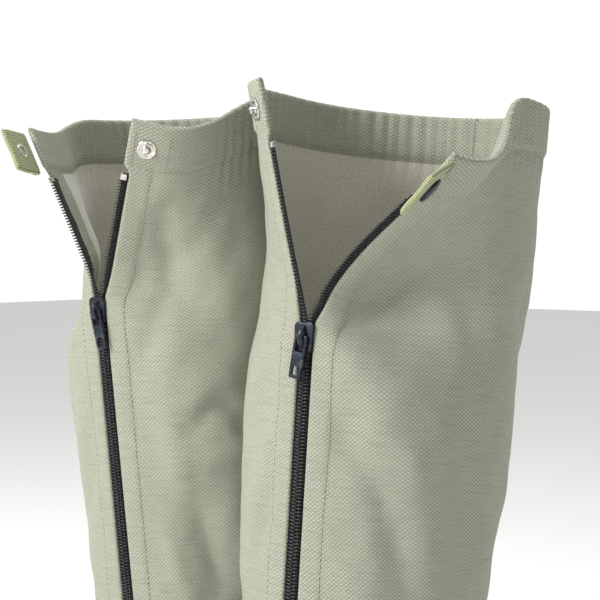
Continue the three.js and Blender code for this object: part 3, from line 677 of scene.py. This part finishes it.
def clothMiddle(gaiter, half, heights):
    stripColumns, frontShares, backShares = clothColumns()
    curl = gaiter[halves[half]]["curl"]
    into, edge, face = flapAxes(gaiter, half)
    strip = [stripPoint(gaiter, half, heights, edgeShift(heights, a)) for a in stripColumns]
    strip = np.stack(strip, 1)
    end = edgeLine(gaiter, half, heights) + stripEnd * into - curl * stripEnd ** 2 * face
    heading = unit(into - 2 * curl * stripEnd * face)
    side = tubePoint(half, math.pi / 2, heights)
    chord = np.linalg.norm(side - end, axis=-1, keepdims=True)
    reach = 0.38 * chord
    first = end + heading * reach
    second = side + np.array([0, -1, 0]) * reach
    t = frontShares[None, :, None]
    front = ((1 - t) ** 3 * end[:, None] + 3 * (1 - t) ** 2 * t * first[:, None]
             + 3 * (1 - t) * t ** 2 * second[:, None] + t ** 3 * side[:, None])
    across = np.abs(side[:, :1])
    foot = stripEnd / across
    closed = tubePoint(half, foot + (math.pi / 2 - foot) * frontShares, heights[:, None])
    arc = stripEnd + 104 * frontShares
    share = openShare(gaiter, heights[:, None], arc[None, :])[..., None]
    front = (1 - share) * closed + share * front
    share = openShare(gaiter, heights, stripEnd)[:, None]
    joint = (1 - share) * tubePoint(half, foot[:, 0], heights) + share * end
    front = front + (strip[:, -1] - joint)[:, None] * (1 - t) ** 2
    seam = math.pi - 0.006
    angles = math.pi / 2 + backShares * (seam - math.pi / 2)
    back = np.stack([tubePoint(half, a, heights) for a in angles], 1)
    x = np.concatenate([stripColumns, stripEnd + 104 * frontShares, stripEnd + 104 + 126 * backShares])
    return np.concatenate([strip, front, back], 1), x


def gridNormals(points, half):
    across = np.gradient(points, axis=1)
    up = np.gradient(points, axis=0)
    return unit(np.cross(across, up) * half)


# Half the thickness of the cloth outwards and inwards, with rounded folds at its borders.
def thickness(x, h):
    hemHigh = topHeight - hemDepth
    hemLow = footHeight + footHemDepth
    hem = smooth(h, hemHigh, hemHigh + 3) + 1 - smooth(h, hemLow - 3, hemLow)
    strip = 1 - smooth(x, stripEnd - 3, stripEnd)
    out = 0.7 + 1.3 * hem + 0.7 * strip * (1 - hem)
    inward = 0.7 + 1.6 * hem + 0.5 * strip * (1 - hem)
    stitched = np.exp(-((h - hemHigh) / 0.9) ** 2) + np.exp(-((h - hemLow) / 0.9) ** 2)
    stitched = stitched + np.exp(-((x - stripEnd + 2) / 0.9) ** 2) * (1 - hem)
    out = out - 0.35 * stitched

    def rounded(distance, radius):
        t = np.clip(distance / radius, 0, 1)
        return np.sqrt(np.clip(1 - (1 - t) ** 2, 0, 1))

    border = rounded(x - edgeStart, 1.6) * rounded(topHeight - h, 2.3) * rounded(h - footHeight, 2.3)
    return out * border, inward * border


def makeCloth(gaiter, half):
    heights = clothRows()
    middle, x = clothMiddle(gaiter, half, heights)
    across, up = np.meshgrid(x, heights)
    normals = gridNormals(middle, half)
    middle = middle + normals * wrinkles(gaiter, half, across, up)[..., None]
    normals = gridNormals(middle, half)
    out, inward = thickness(across, up)
    outer = middle + normals * out[..., None]
    inner = middle - normals * inward[..., None]
    rows, columns = across.shape
    faces = shellFaces(rows, columns)
    uv = np.stack([across, up], -1).reshape(-1, 2) / 100
    uv = np.concatenate([uv, uv])
    points = toFrame(gaiter, np.concatenate([outer.reshape(-1, 3), inner.reshape(-1, 3)]))
    which = "outer" if half > 0 else "inner"
    piece = makeMesh(f"{gaiter['name']}_{which}_cloth", points, faces, [fabricCloth, liningCloth], uv)
    # the lining shows inside, between the hems and behind the folded strip
    heightOf = np.concatenate([up.ravel(), up.ravel()])
    acrossOf = np.concatenate([across.ravel(), across.ravel()])
    isInner = np.arange(len(points)) >= rows * columns
    hidden = (isInner & (heightOf < topHeight - hemDepth) & (heightOf > footHeight + footHemDepth)
              & (acrossOf > stripEnd))
    for polygon in piece.data.polygons:
        polygon.material_index = int(all(hidden[v] for v in polygon.vertices))
    name = gaiter["name"]
    shared = ["top_hem", "top_elastic"] if half > 0 else ["foot_hem", "foot_elastic"]
    own = ["outer_panel", "overlap_flap"] if half > 0 else ["inner_panel", "stud_flap"]
    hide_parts(*[f"{name}_{node}" for node in own + shared])
    blendWithFlap(piece, gaiter, half)
    return {"gaiter": gaiter, "half": half, "outer": outer, "normals": normals, "x": x, "h": heights,
            "piece": piece}


# Bakes the piece's placement into its mesh. The line it works out up the open flap is not used.
def blendWithFlap(piece, gaiter, half):
    into, edge, _ = flapAxes(gaiter, half)
    slope = 1.2
    direction = unit(edge - slope * into) * 62 / math.hypot(1, slope)
    start = sliderPoint(gaiter)
    ends = toFrame(gaiter, np.array([start, start + direction]))
    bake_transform(piece)


def clothAt(cloth, x, h):
    column = np.interp(x, cloth["x"], np.arange(len(cloth["x"])))
    row = np.interp(h, cloth["h"], np.arange(len(cloth["h"])))
    c = np.minimum(column.astype(int), len(cloth["x"]) - 2)
    r = np.minimum(row.astype(int), len(cloth["h"]) - 2)
    fc, fr = (column - c)[..., None], (row - r)[..., None]
    found = []
    for grid in (cloth["outer"], cloth["normals"]):
        low = grid[r, c] * (1 - fc) + grid[r, c + 1] * fc
        high = grid[r + 1, c] * (1 - fc) + grid[r + 1, c + 1] * fc
        found.append(low * (1 - fr) + high * fr)
    return found


# Rows of lock stitches along lines on the cloth, each stitch a short bar sunk at both ends.
def stitchRows(cloth, lines, name, length=2.6, gap=0.9, radius=0.3):
    parts = []
    for line in lines:
        line = np.asarray(line, float)
        steps = np.r_[0, np.cumsum(np.hypot(*np.diff(line, axis=0).T))]
        for start in np.arange(0.5, steps[-1] - length, length + gap):
            along = start + np.array([0, 0.12, 0.35, 0.65, 0.88, 1]) * length
            x = np.interp(along, steps, line[:, 0])
            h = np.interp(along, steps, line[:, 1])
            point, normal = clothAt(cloth, x, h)
            lift = np.array([-0.35, 0.05, 0.2, 0.2, 0.05, -0.35])[:, None]
            parts.append(tubeMesh(point + normal * lift, radius, radius * 0.8, normal, 5))
    points, faces = joinMeshes(parts)
    piece = makeMesh(name, toFrame(cloth["gaiter"], points), faces, thread)
    blendWithFlap(piece, cloth["gaiter"], cloth["half"])
    return piece


def addStitching(cloth):
    gaiter, half = cloth["gaiter"], cloth["half"]
    hemHigh = topHeight - hemDepth
    hemLow = footHeight + footHemDepth
    seam = stripEnd - 2
    lines = [
        [(seam, hemLow + 2), (seam, hemHigh - 1)],
        [(edgeStart + 1.5, hemHigh), (246, hemHigh)],
        [(edgeStart + 1.5, hemLow), (246, hemLow)],
    ]
    if half < 0:
        lines.append([(edgeStart + 3.2, hemHigh + 2), (edgeStart + 3.2, topHeight - 4)])
        studRow = studSetBack + edgeStart + 8
        lines.append([(studRow, hemHigh + 2), (studRow, topHeight - 4)])
    stitchRows(cloth, lines, f"{gaiter['name']}_{halves[half]}_stitching")


# A narrow taped seam down the middle of the back joins the two halves.
def backSeam(gaiter):
    heights = np.linspace(footHeight + 2, topHeight - 2, 150)
    swell = 1.2 + 1.0 * smooth(heights, topHeight - hemDepth, topHeight - hemDepth + 3)
    swell = swell + 1.0 * (1 - smooth(heights, footHeight + footHemDepth - 3, footHeight + footHemDepth))
    path = tubePoint(1, math.pi, heights)
    path[:, 1] += 0.1 + 0.25 * np.sin(heights / 5.0)
    points, faces = tubeMesh(path, 2.6, 1, (1, 0, 0), 12)
    points = points.reshape(len(heights), 12, 3)
    points[..., 1] = path[:, None, 1] + (points[..., 1] - path[:, None, 1]) * swell[:, None]
    flat = points.reshape(-1, 3)
    uv = np.stack([flat[:, 0], flat[:, 2]], -1) / 100
    piece = makeMesh(f"{gaiter['name']}_back_seam", toFrame(gaiter, flat), faces, fabricCloth, uv)
    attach(piece, "fixed")


# ---- zip ----
# One half of the coil: flattened loops of nylon wire on the edge of the tape.
def coilPart(gaiter, half, low, high, phase):
    turns = (high - low) / coilPitch
    angles = np.linspace(0, 2 * math.pi * turns, int(turns * 14)) + phase
    heights = low + (angles - phase) / (2 * math.pi) * coilPitch
    c, s = np.cos(angles), np.sin(angles)
    a = 1.5 - 2.0 * np.sign(c) * np.abs(c) ** 0.7
    n = 1.0 * np.sign(s) * np.abs(s) ** 0.8
    path, into, _ = besideZip(gaiter, half, heights, a, n)
    return tubeMesh(path, 0.43, 0.43, unit(into + 0.01), 6)


def tapePart(gaiter, half, low, high, near, far):
    heights = np.linspace(low, high, max(int((high - low) / 4), 2))
    columns = np.linspace(near, far, 8)
    grids = [np.stack([stripPoint(gaiter, half, heights, a, n) for a in columns], 1) for n in (-0.85, -1.35)]
    points = np.concatenate([g.reshape(-1, 3) for g in grids])
    return points, [tuple(f) for f in shellFaces(len(heights), len(columns))]


def makeZip(gaiter):
    name = gaiter["name"]
    start = sliderHeight(gaiter)
    top = topHeight - chainEndBelowTop
    foot = footHeight + 5
    closed = [coilPart(gaiter, half, foot, start - 6, 0 if half > 0 else math.pi) for half in (1, -1)]
    points, faces = joinMeshes(closed)
    chain = makeMesh(f"{name}_closed_coil", toFrame(gaiter, points), faces, zipCoil)
    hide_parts(f"{name}_closed_chain")
    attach(chain, "fixed")
    for half in (1, -1):
        kind = halves[half]
        side = "outer" if half > 0 else "inner"
        coil = coilPart(gaiter, half, start - 5, top, 0 if half > 0 else math.pi)
        piece = makeMesh(f"{name}_{kind}_coil", toFrame(gaiter, coil[0]), coil[1], zipCoil)
        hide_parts(f"{name}_{kind}_chain")
        blendWithFlap(piece, gaiter, half)
        tape = tapePart(gaiter, half, foot - 3, top + 4, 1.0, 17)
        piece = makeMesh(f"{name}_{side}_zip_tape", toFrame(gaiter, tape[0]), tape[1], zipTape)
        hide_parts(f"{name}_{side}_tape")
        blendWithFlap(piece, gaiter, half)
        node = f"{name}_{kind}_top_stop"
        stop = stopShape(f"{name}_{kind}_stop", 3.9, 3.4)
        remap(stop, lambda p: onFlap(gaiter, half, p, 2.1, top - start + 1.9))
        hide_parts(node)
        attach(stop, f"{name}_{kind}")
    bottomStop(gaiter)


# A clamped metal stop, wrapped round the edge of the tape.
def stopShape(name, width, length):
    outline = roundedBox(width / 2, -length / 2, length / 2, 0.7)
    piece = plateObject(name, outline, [], -1.7, 1.7, 0.5, nickel)
    sharpen(piece, 40)
    return piece


def bottomStop(gaiter):
    name = gaiter["name"]
    stop = stopShape(f"{name}_zip_foot_stop", 7.4, 3.6)
    height = footHeight + 3
    front = tubePoint(1, 0.0, float(height))

    def place(p):
        local = np.stack([p[:, 0], -p[:, 2], p[:, 1]], -1)
        return toFrame(gaiter, local + front)

    remap(stop, place)
    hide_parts(f"{name}_bottom_stop")
    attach(stop, "fixed")


sliderBack = 1.65
sliderPlate = 1.8
bridgeReach = 5.5
pinOut = sliderBack + sliderPlate + 1.35


# The slider's outer plate is shield-shaped, with side flanges round the chain and a bridge.
def makeSlider(gaiter):
    name = gaiter["name"]
    top, low = 0.0, -sliderLength
    outline = [(-6.5, top - 2.5), (-5.2, top - 0.4), (-3.0, top), (0, top - 0.9), (3.0, top), (5.2, top - 0.4),
               (6.5, top - 2.5), (6.3, -9), (5.4, low + 0.8), (4.2, low), (-4.2, low), (-5.4, low + 0.8), (-6.3, -9)]
    body = plateObject(f"{name}_slider_body", outline, [], sliderBack, sliderBack + sliderPlate, 0.6,
                       sliderPaint)
    sharpen(body, 40)
    parts = [body]
    for side in (1, -1):
        flange = plateObject("flange", roundedBox(0.8, low + 0.5, top - 1.5, 0.6), [], -0.9, sliderBack + 0.4, 0.25,
                             sliderPaint)
        remap(flange, lambda p: p + np.array([side * 5.0, 0, 0]))
        parts.append(flange)
    middle = -sliderLength / 2
    reach = np.linspace(-1, 1, 25)
    arch = np.stack([
        np.zeros(25),
        middle + (bridgeReach + 0.7) * reach,
        sliderBack + sliderPlate - 0.4 + 3.8 * (1 - np.abs(reach) ** 3.2),
    ], -1)
    points, faces = tubeMesh(arch, 1.7, 0.72, (1, 0, 0), 14)
    bridge = makeMesh("bridge", points, faces, sliderPaint)
    parts.append(bridge)
    slider = joinObjects(parts, f"{name}_zip_slider_body")
    remap(slider, lambda p: onFront(gaiter, p))
    sharpen(slider, 40)
    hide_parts(f"{name}_slider")
    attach(slider, f"{name}_zip_slider")


def joinObjects(parts, name):
    bpy.ops.object.select_all(action="DESELECT")
    for part in parts:
        part.select_set(True)
    bpy.context.view_layer.objects.active = parts[0]
    bpy.ops.object.join()
    parts[0].name = name
    parts[0].data.name = name
    return parts[0]


# A tapering pull with a slot for the bridge and a small window near its end.
def makePull(gaiter):
    name = gaiter["name"]
    length, half = 24.0, 4.3
    outline = [*arcPoints((-half + 1.6, -0.6), 1.6, 180, 90, 5), *arcPoints((half - 1.6, -0.6), 1.6, 90, 0, 5),
               (half, -8), (half - 0.35, -length + 1.2), *arcPoints((half - 1.4, -length + 1), 1, 0, -90, 4),
               *arcPoints((-half + 1.4, -length + 1), 1, -90, -180, 4), (-half + 0.35, -length + 1.2), (-half, -8)]
    slot = roundedBox(2.75, -9.0, -1.0, 1.4)
    window = roundedBox(2.1, -length + 1.9, -length + 7.0, 0.5)
    body = plateObject(f"{name}_pull_body", outline, [slot, window], -0.8, 0.8, 0.3, sliderPaint)
    parts = [body]
    pinLine = np.array([(-half + 0.3, 0, 0), (0, 0, 0), (half - 0.3, 0, 0)])
    pin, faces = tubeMesh(pinLine, 0.95, 0.95, (0, 1, 0), 14)
    parts.append(makeMesh("pin", pin, faces, sliderPaint))
    # a low raised rib crosses the blank face below the slot
    rib, faces = tubeMesh(np.array([(-half + 0.5, -10.2, 0.8), (0, -10.2, 0.8), (half - 0.5, -10.2, 0.8)]),
                          0.45, 0.3, (0, 1, 0), 10)
    parts.append(makeMesh("rib", rib, faces, sliderPaint))
    pull = joinObjects(parts, f"{name}_zip_pull")
    askew = math.radians(-8)
    c, s = math.cos(askew), math.sin(askew)

    def place(p):
        turned = np.stack([p[:, 0] * c - p[:, 1] * s, p[:, 0] * s + p[:, 1] * c, p[:, 2]], -1)
        return onFront(gaiter, turned + np.array([0, -sliderLength / 2, pinOut]))

    remap(pull, place)
    sharpen(pull, 40)
    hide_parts(f"{name}_pull_tab")
    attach(pull, f"{name}_pull")


# ---- snap ----
def makeStud(gaiter):
    name = gaiter["name"]
    height = gaiter["openLength"] - studBelowTop
    face = 2.0
    profile = [(0.2, face), (6.2, face), (6.25, face + 0.5), (5.9, face + 0.95), (5.2, face + 1.1), (4.4, face + 0.8),
               (3.4, face + 0.55), (2.5, face + 0.8), (1.95, face + 1.5), (2.05, face + 2.3), (2.35, face + 2.9),
               (2.15, face + 3.5), (1.5, face + 3.85), (0.3, face + 3.9)]
    points, faces = latheMesh(profile)
    stud = makeMesh(f"{name}_snap_stud", points, faces, nickel)
    remap(stud, lambda p: onFlap(gaiter, -1, p, studSetBack, height))
    sharpen(stud, 50)
    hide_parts(f"{name}_press_stud")
    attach(stud, f"{name}_stud")
    back = [(0.2, -3.7), (4.9, -3.6), (5.5, -3.2), (5.6, -2.6), (5.4, -2.2), (0.2, -2.2)]
    points, faces = latheMesh(back)
    rivet = makeMesh(f"{name}_stud_back", points, faces, nickel)
    remap(rivet, lambda p: onFlap(gaiter, -1, p, studSetBack, height))
    sharpen(rivet, 50)
    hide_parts(f"{name}_stud_rivet")
    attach(rivet, f"{name}_stud")


# Webbing folded back on itself round the snap's socket, stitched to the end of the hem.
def makeTab(gaiter):
    name = gaiter["name"]
    height = gaiter["openLength"] - studBelowTop
    rows = np.linspace(-15, 15, 41)
    reach, inset = 27.0, 0.5
    count = 12
    lowFace = np.linspace(inset, reach - 1.6, 24)
    angles = np.linspace(-90, 90, count)[1:-1]
    tabHalf, tabMiddle, tipTurn = 1.6, 2.1, np.radians(angles)
    tip = np.stack([reach - tabHalf + tabHalf * np.cos(tipTurn), tabMiddle + tabHalf * np.sin(tipTurn)], -1)
    section = [*[(x, 0.5) for x in lowFace], *[tuple(p) for p in tip], *[(x, 3.7) for x in lowFace[::-1]]]
    section = np.array(section)
    puff = 0.18 * np.sin(np.linspace(0, 9, len(rows)) + gaiter["seed"])
    grid = np.zeros((len(rows), len(section), 3))
    grid[..., 0] = -section[None, :, 0]
    grid[..., 1] = rows[:, None] * (1 - 0.04 * smooth(section[None, :, 0], 15, reach))
    edge = np.sqrt(np.clip(1 - (np.abs(rows) / 15.05) ** 14, 0.05, 1))
    puffed = puff[:, None] * smooth(section[None, :, 0], 2, 20)
    grid[..., 2] = tabMiddle + (section[None, :, 1] - tabMiddle) * edge[:, None] + puffed
    points = grid.reshape(-1, 3)
    faces = [tuple(f) for f in gridFaces(len(rows), len(section), 0, True)]
    faces.append(tuple(range(len(section)))[::-1])
    faces.append(tuple(range((len(rows) - 1) * len(section), len(rows) * len(section))))
    run = np.r_[0, np.cumsum(np.linalg.norm(np.diff(section, axis=0), axis=1))]
    uv = np.stack(np.broadcast_arrays(rows[:, None], run[None, :]), -1).reshape(-1, 2) / 100
    tab = makeMesh(f"{name}_snap_webbing", points, faces, webbingCloth, uv)
    fold = math.radians(gaiter["tabFold"])

    def place(p):
        return onFlap(gaiter, 1, p, 0, height, tabRise, fold)

    remap(tab, place)
    sharpen(tab, 50)
    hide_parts(f"{name}_snap_tab")
    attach(tab, f"{name}_tab")
    cap = [(0.2, 3.6), (7.2, 3.6), (7.6, 3.9), (7.6, 4.5), (7.1, 5.1), (5.9, 5.6),
           (4.2, 5.95), (2.2, 6.1), (0.2, 6.15)]
    socket = [(0.2, 1.6), (3.0, 1.6), (3.05, 0.1), (3.6, -0.1), (5.0, 0.0),
              (5.4, 0.4), (5.4, 2.2), (0.2, 2.2)]
    for node, profile, finish, title in (("snap_cap", cap, capPaint, "snap_cap_face"),
                                         ("snap_socket", socket, nickel, "snap_socket_ring")):
        points, faces = latheMesh(profile)
        piece = makeMesh(f"{name}_{title}", points, faces, finish)
        remap(piece, lambda p: place(p + np.array([-studSetBack, 0, 0])))
        sharpen(piece, 50)
        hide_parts(f"{name}_{node}")
        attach(piece, f"{name}_tab")
    barTacks(gaiter, place)


# Dense zigzag stitches hold the root of the tab.
def barTacks(gaiter, place):
    parts = []
    for row, column in ((-11.5, 1.6), (11.5, 1.6), (-11.5, 4.0), (11.5, 4.0)):
        steps = np.linspace(0, 1, 61)
        path = np.stack([
            -column + 0.7 * np.sin(steps * 60),
            row + (steps - 0.5) * 6,
            np.full(61, 4.0) + 0.1 * np.cos(steps * 60),
        ], -1)
        parts.append(tubeMesh(path, 0.22, 0.22, (0, 0, 1), 5))
    points, faces = joinMeshes(parts)
    piece = makeMesh(f"{gaiter['name']}_tab_bar_tacks", place(points), faces, thread)
    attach(piece, f"{gaiter['name']}_tab")


# ---- under the boot ----
strapSide = calfRadius - taper * (calfHeight - footHeight - footHemDepth) - ankleNip * 0.77 + 3.8
strapWidth = 20
frameFoot = 16.0
frameBar = 34.9
frameOut = strapSide + 1.25


def onFoot(gaiter, points):
    return toFrame(gaiter, points, lean=False)


def bandMesh(path, width, thick):
    path = np.array(path, float)
    steps = np.r_[0, np.cumsum(np.hypot(*np.diff(path, axis=0).T))]
    even = np.linspace(0, steps[-1], int(steps[-1] / 1.5))
    x = np.interp(even, steps, path[:, 0])
    z = np.interp(even, steps, path[:, 1])
    centre = np.stack([x, z], -1)
    for _ in range(6):
        centre[1:-1] = (centre[:-2] + 2 * centre[1:-1] + centre[2:]) / 4
    tangent = unit(np.gradient(centre, axis=0))
    normal = np.stack([-tangent[:, 1], tangent[:, 0]], -1)
    half = width / 2
    section = [(-half, -0.3), (-half + 0.25, -0.5), (0, -0.5), (half - 0.25, -0.5), (half, -0.3),
               (half, 0.3), (half - 0.25, 0.5), (0, 0.5), (-half + 0.25, 0.5), (-half, 0.3)]
    rings = [np.stack([centre[:, 0] + normal[:, 0] * v * thick, np.full(len(centre), y),
                       centre[:, 1] + normal[:, 1] * v * thick], -1) for y, v in section]
    points = np.stack(rings, 1).reshape(-1, 3)
    faces = [tuple(f) for f in gridFaces(len(centre), len(section), 0, True)]
    faces.append(tuple(range(len(section)))[::-1])
    faces.append(tuple(range(len(points) - len(section), len(points))))
    return points, faces


def makeStraps(gaiter):
    name = gaiter["name"]
    side, floor, bend = strapSide, 0.9, 10.0
    tail = frameOut + 3.6
    quarter = np.linspace(0, 1.57, 9)
    inner = [(-side + bend - bend * math.cos(a), floor + bend - bend * math.sin(a)) for a in quarter]
    outer = [(side - bend + bend * math.sin(a), floor + bend - bend * math.cos(a)) for a in quarter]
    path = [(-side, 54), *inner, *outer, (side, 20), (tail, 31), (tail, 62)]
    points, faces = bandMesh(path, strapWidth, 1.8)
    strap = makeMesh(f"{name}_instep_strap", onFoot(gaiter, points), faces, strapCoat)
    sharpen(strap, 50)
    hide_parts(f"{name}_long_strap")
    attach(strap, "fixed")
    points, faces = bandMesh([(side, 34), (side, 55)], strapWidth, 1.8)
    short = makeMesh(f"{name}_buckle_tab", onFoot(gaiter, points), faces, strapCoat)
    sharpen(short, 50)
    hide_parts(f"{name}_buckle_strap")
    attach(short, "fixed")
    makeBuckle(gaiter)
    for sign, node in ((1, "outer_rivet"), (-1, "inner_rivet")):
        profile = [(0.2, 0.9), (4.2, 0.9), (4.2, 1.5), (3.6, 2.1), (2.2, 2.5), (0.2, 2.65)]
        points, faces = latheMesh(profile, 32)
        rivet = makeMesh(f"{name}_{node}_head", points, faces, nickel)
        remap(rivet, lambda p: onFoot(gaiter, np.stack([sign * (side + p[:, 2]), p[:, 0], 49 + p[:, 1]], -1)))
        sharpen(rivet, 50)
        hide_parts(f"{name}_{node}")
        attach(rivet, "fixed")


def makeBuckle(gaiter):
    name = gaiter["name"]
    out = frameOut + 1.2
    halfWide = 12.1
    corners = [*arcPoints((halfWide - 3, frameFoot + 4.3), 3, 0, -90, 6),
               *arcPoints((-halfWide + 3, frameFoot + 4.3), 3, -90, -180, 6)]
    loop = [(halfWide, frameBar), *corners, (-halfWide, frameBar)]
    steps = np.array([*loop, loop[0]])
    run = np.r_[0, np.cumsum(np.hypot(*np.diff(steps, axis=0).T))]
    even = np.linspace(0, run[-1], 120)
    path = np.stack([np.full(120, out), np.interp(even, run, steps[:, 0]),
                     np.interp(even, run, steps[:, 1])], -1)
    points, faces = tubeMesh(path, 1.3, 1.2, (1, 0, 0), 12, False)
    faces += [(len(points) - 12 + i, len(points) - 12 + (i + 1) % 12, (i + 1) % 12, i) for i in range(12)]
    loopFrame = makeMesh(f"{name}_buckle_loop", onFoot(gaiter, points), faces, nickel)
    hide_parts(f"{name}_buckle_frame")
    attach(loopFrame, "fixed")
    eye = [(out + 1.9 * math.cos(a), frameBar + 1.9 * math.sin(a)) for a in np.linspace(-1.2, 4.2, 22)]
    tongue = [(out + 2.6, 30), (out + 2.6, 22), (out + 2.2, frameFoot + 0.9)]
    line = [*eye[::-1], *tongue]
    path = np.array([(x, 0, z) for x, z in line])
    points, faces = tubeMesh(path, 0.62, 1.2, np.array([0, 1, 0]), 10)
    prong = makeMesh(f"{name}_prong_pin", onFoot(gaiter, points), faces, nickel)
    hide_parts(f"{name}_buckle_prong")
    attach(prong, f"{name}_prong")


def makeHook(gaiter):
    name = gaiter["name"]
    height = footHeight + 12
    centre = tubePoint(1, 0.262, float(height))
    plate = plateObject("hook_plate", roundedBox(4.2, -8, 9, 1.6), [], 0, 1.2, 0.3, nickel)
    arc = [(3.3 + 2.1 * math.cos(a), -7.2 + 2.1 * math.sin(a)) for a in np.linspace(-3.0, 0, 14)]
    path = np.array([(0, up, out) for out, up in [(0.7, -3), (0.9, -6), *arc, (5.5, -3), (5.9, -0.5)]])
    points, faces = tubeMesh(path, 3.0, 0.55, (1, 0, 0), 12)
    hook = joinObjects([plate, makeMesh("hook_arm", points, faces, nickel)], f"{name}_hook_body")

    def place(p):
        local = np.stack([p[:, 0], -p[:, 2] - 2.6, p[:, 1]], -1)
        return onFoot(gaiter, local + centre)

    remap(hook, place)
    sharpen(hook, 40)
    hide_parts(f"{name}_lace_hook")
    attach(hook, "fixed")


for gaiter in gaiters:
    makeStraps(gaiter)
    makeHook(gaiter)
    cloths = [makeCloth(gaiter, half) for half in (1, -1)]
    for cloth in cloths:
        addStitching(cloth)
    backSeam(gaiter)
    makeZip(gaiter)
    makeSlider(gaiter)
    makePull(gaiter)
    makeStud(gaiter)
    makeTab(gaiter)
    print(gaiter["name"], "gaiter made")


# ---- studio ----
def sceneCamera():
    azimuth, elevation = math.radians(39.6), math.radians(2.2)
    left = gaiters[0]
    axis = toFrame(left, np.array([[0, 0, 290.0]]))[0]
    viewRight = np.array([math.cos(azimuth), math.sin(azimuth), 0])
    target = axis - 0.0521 * viewRight
    target[2] = 0.307
    away = np.array([math.sin(azimuth) * math.cos(elevation), -math.cos(azimuth) * math.cos(elevation),
                     math.sin(elevation)])
    camera = bpy.data.objects.new("camera", bpy.data.cameras.new("camera"))
    bpy.context.scene.collection.objects.link(camera)
    camera.location = Vector(target + 1.04 * away)
    camera.rotation_euler = Vector(-away).to_track_quat("-Z", "Y").to_euler()
    camera.data.angle = math.radians(19.6)
    bpy.context.scene.camera = camera
    return target, viewRight, away


def addLight(name, place, target, size, power, color):
    light = bpy.data.lights.new(name, "AREA")
    light.size = size
    light.energy = power
    light.color = color
    holder = bpy.data.objects.new(name, light)
    bpy.context.scene.collection.objects.link(holder)
    holder.location = Vector(place)
    holder.rotation_euler = (Vector(target) - Vector(place)).to_track_quat("-Z", "Y").to_euler()


# A white surround, dimmer on the camera's side, so that the folds keep their shading.
def surround(away):
    world = bpy.data.worlds.new("white surround")
    bpy.context.scene.world = world
    world.use_nodes = True
    tree = world.node_tree
    place = tree.nodes.new("ShaderNodeTexCoord")
    facing = tree.nodes.new("ShaderNodeVectorMath")
    facing.operation = "DOT_PRODUCT"
    facing.inputs[1].default_value = tuple(away)
    strength = tree.nodes.new("ShaderNodeMapRange")
    strength.inputs["From Min"].default_value = -0.55
    strength.inputs["From Max"].default_value = 0.2
    strength.inputs["To Min"].default_value = 1.05
    strength.inputs["To Max"].default_value = 0.38
    background = tree.nodes["Background"]
    background.inputs["Color"].default_value = (1, 1, 1, 1)
    tree.links.new(place.outputs["Generated"], facing.inputs[0])
    tree.links.new(facing.outputs["Value"], strength.inputs["Value"])
    tree.links.new(strength.outputs["Result"], background.inputs["Strength"])


def studio():
    target, right, away = sceneCamera()
    up = np.array([0, 0, 1.0])
    addLight("key", target - 1.3 * right + 0.7 * away + 0.7 * up, target, 0.6, 30, (1, 0.99, 0.97))
    addLight("front fill", target + 0.2 * right + 1.6 * away + 0.3 * up, target, 1.2, 4, (1, 1, 1))
    addLight("top", target - 0.2 * right + 1.4 * up, target, 0.9, 9, (1, 1, 1))
    surround(away)
    size = 6.0
    floor = makeMesh("floor", [(-size, -size, 0), (size, -size, 0), (size, size, 0), (-size, size, 0)],
                     [(0, 1, 2, 3)], backdropMaterial(), flat=True)


studio()
bpy.context.scene.view_settings.view_transform = "Standard"
print("studio made")
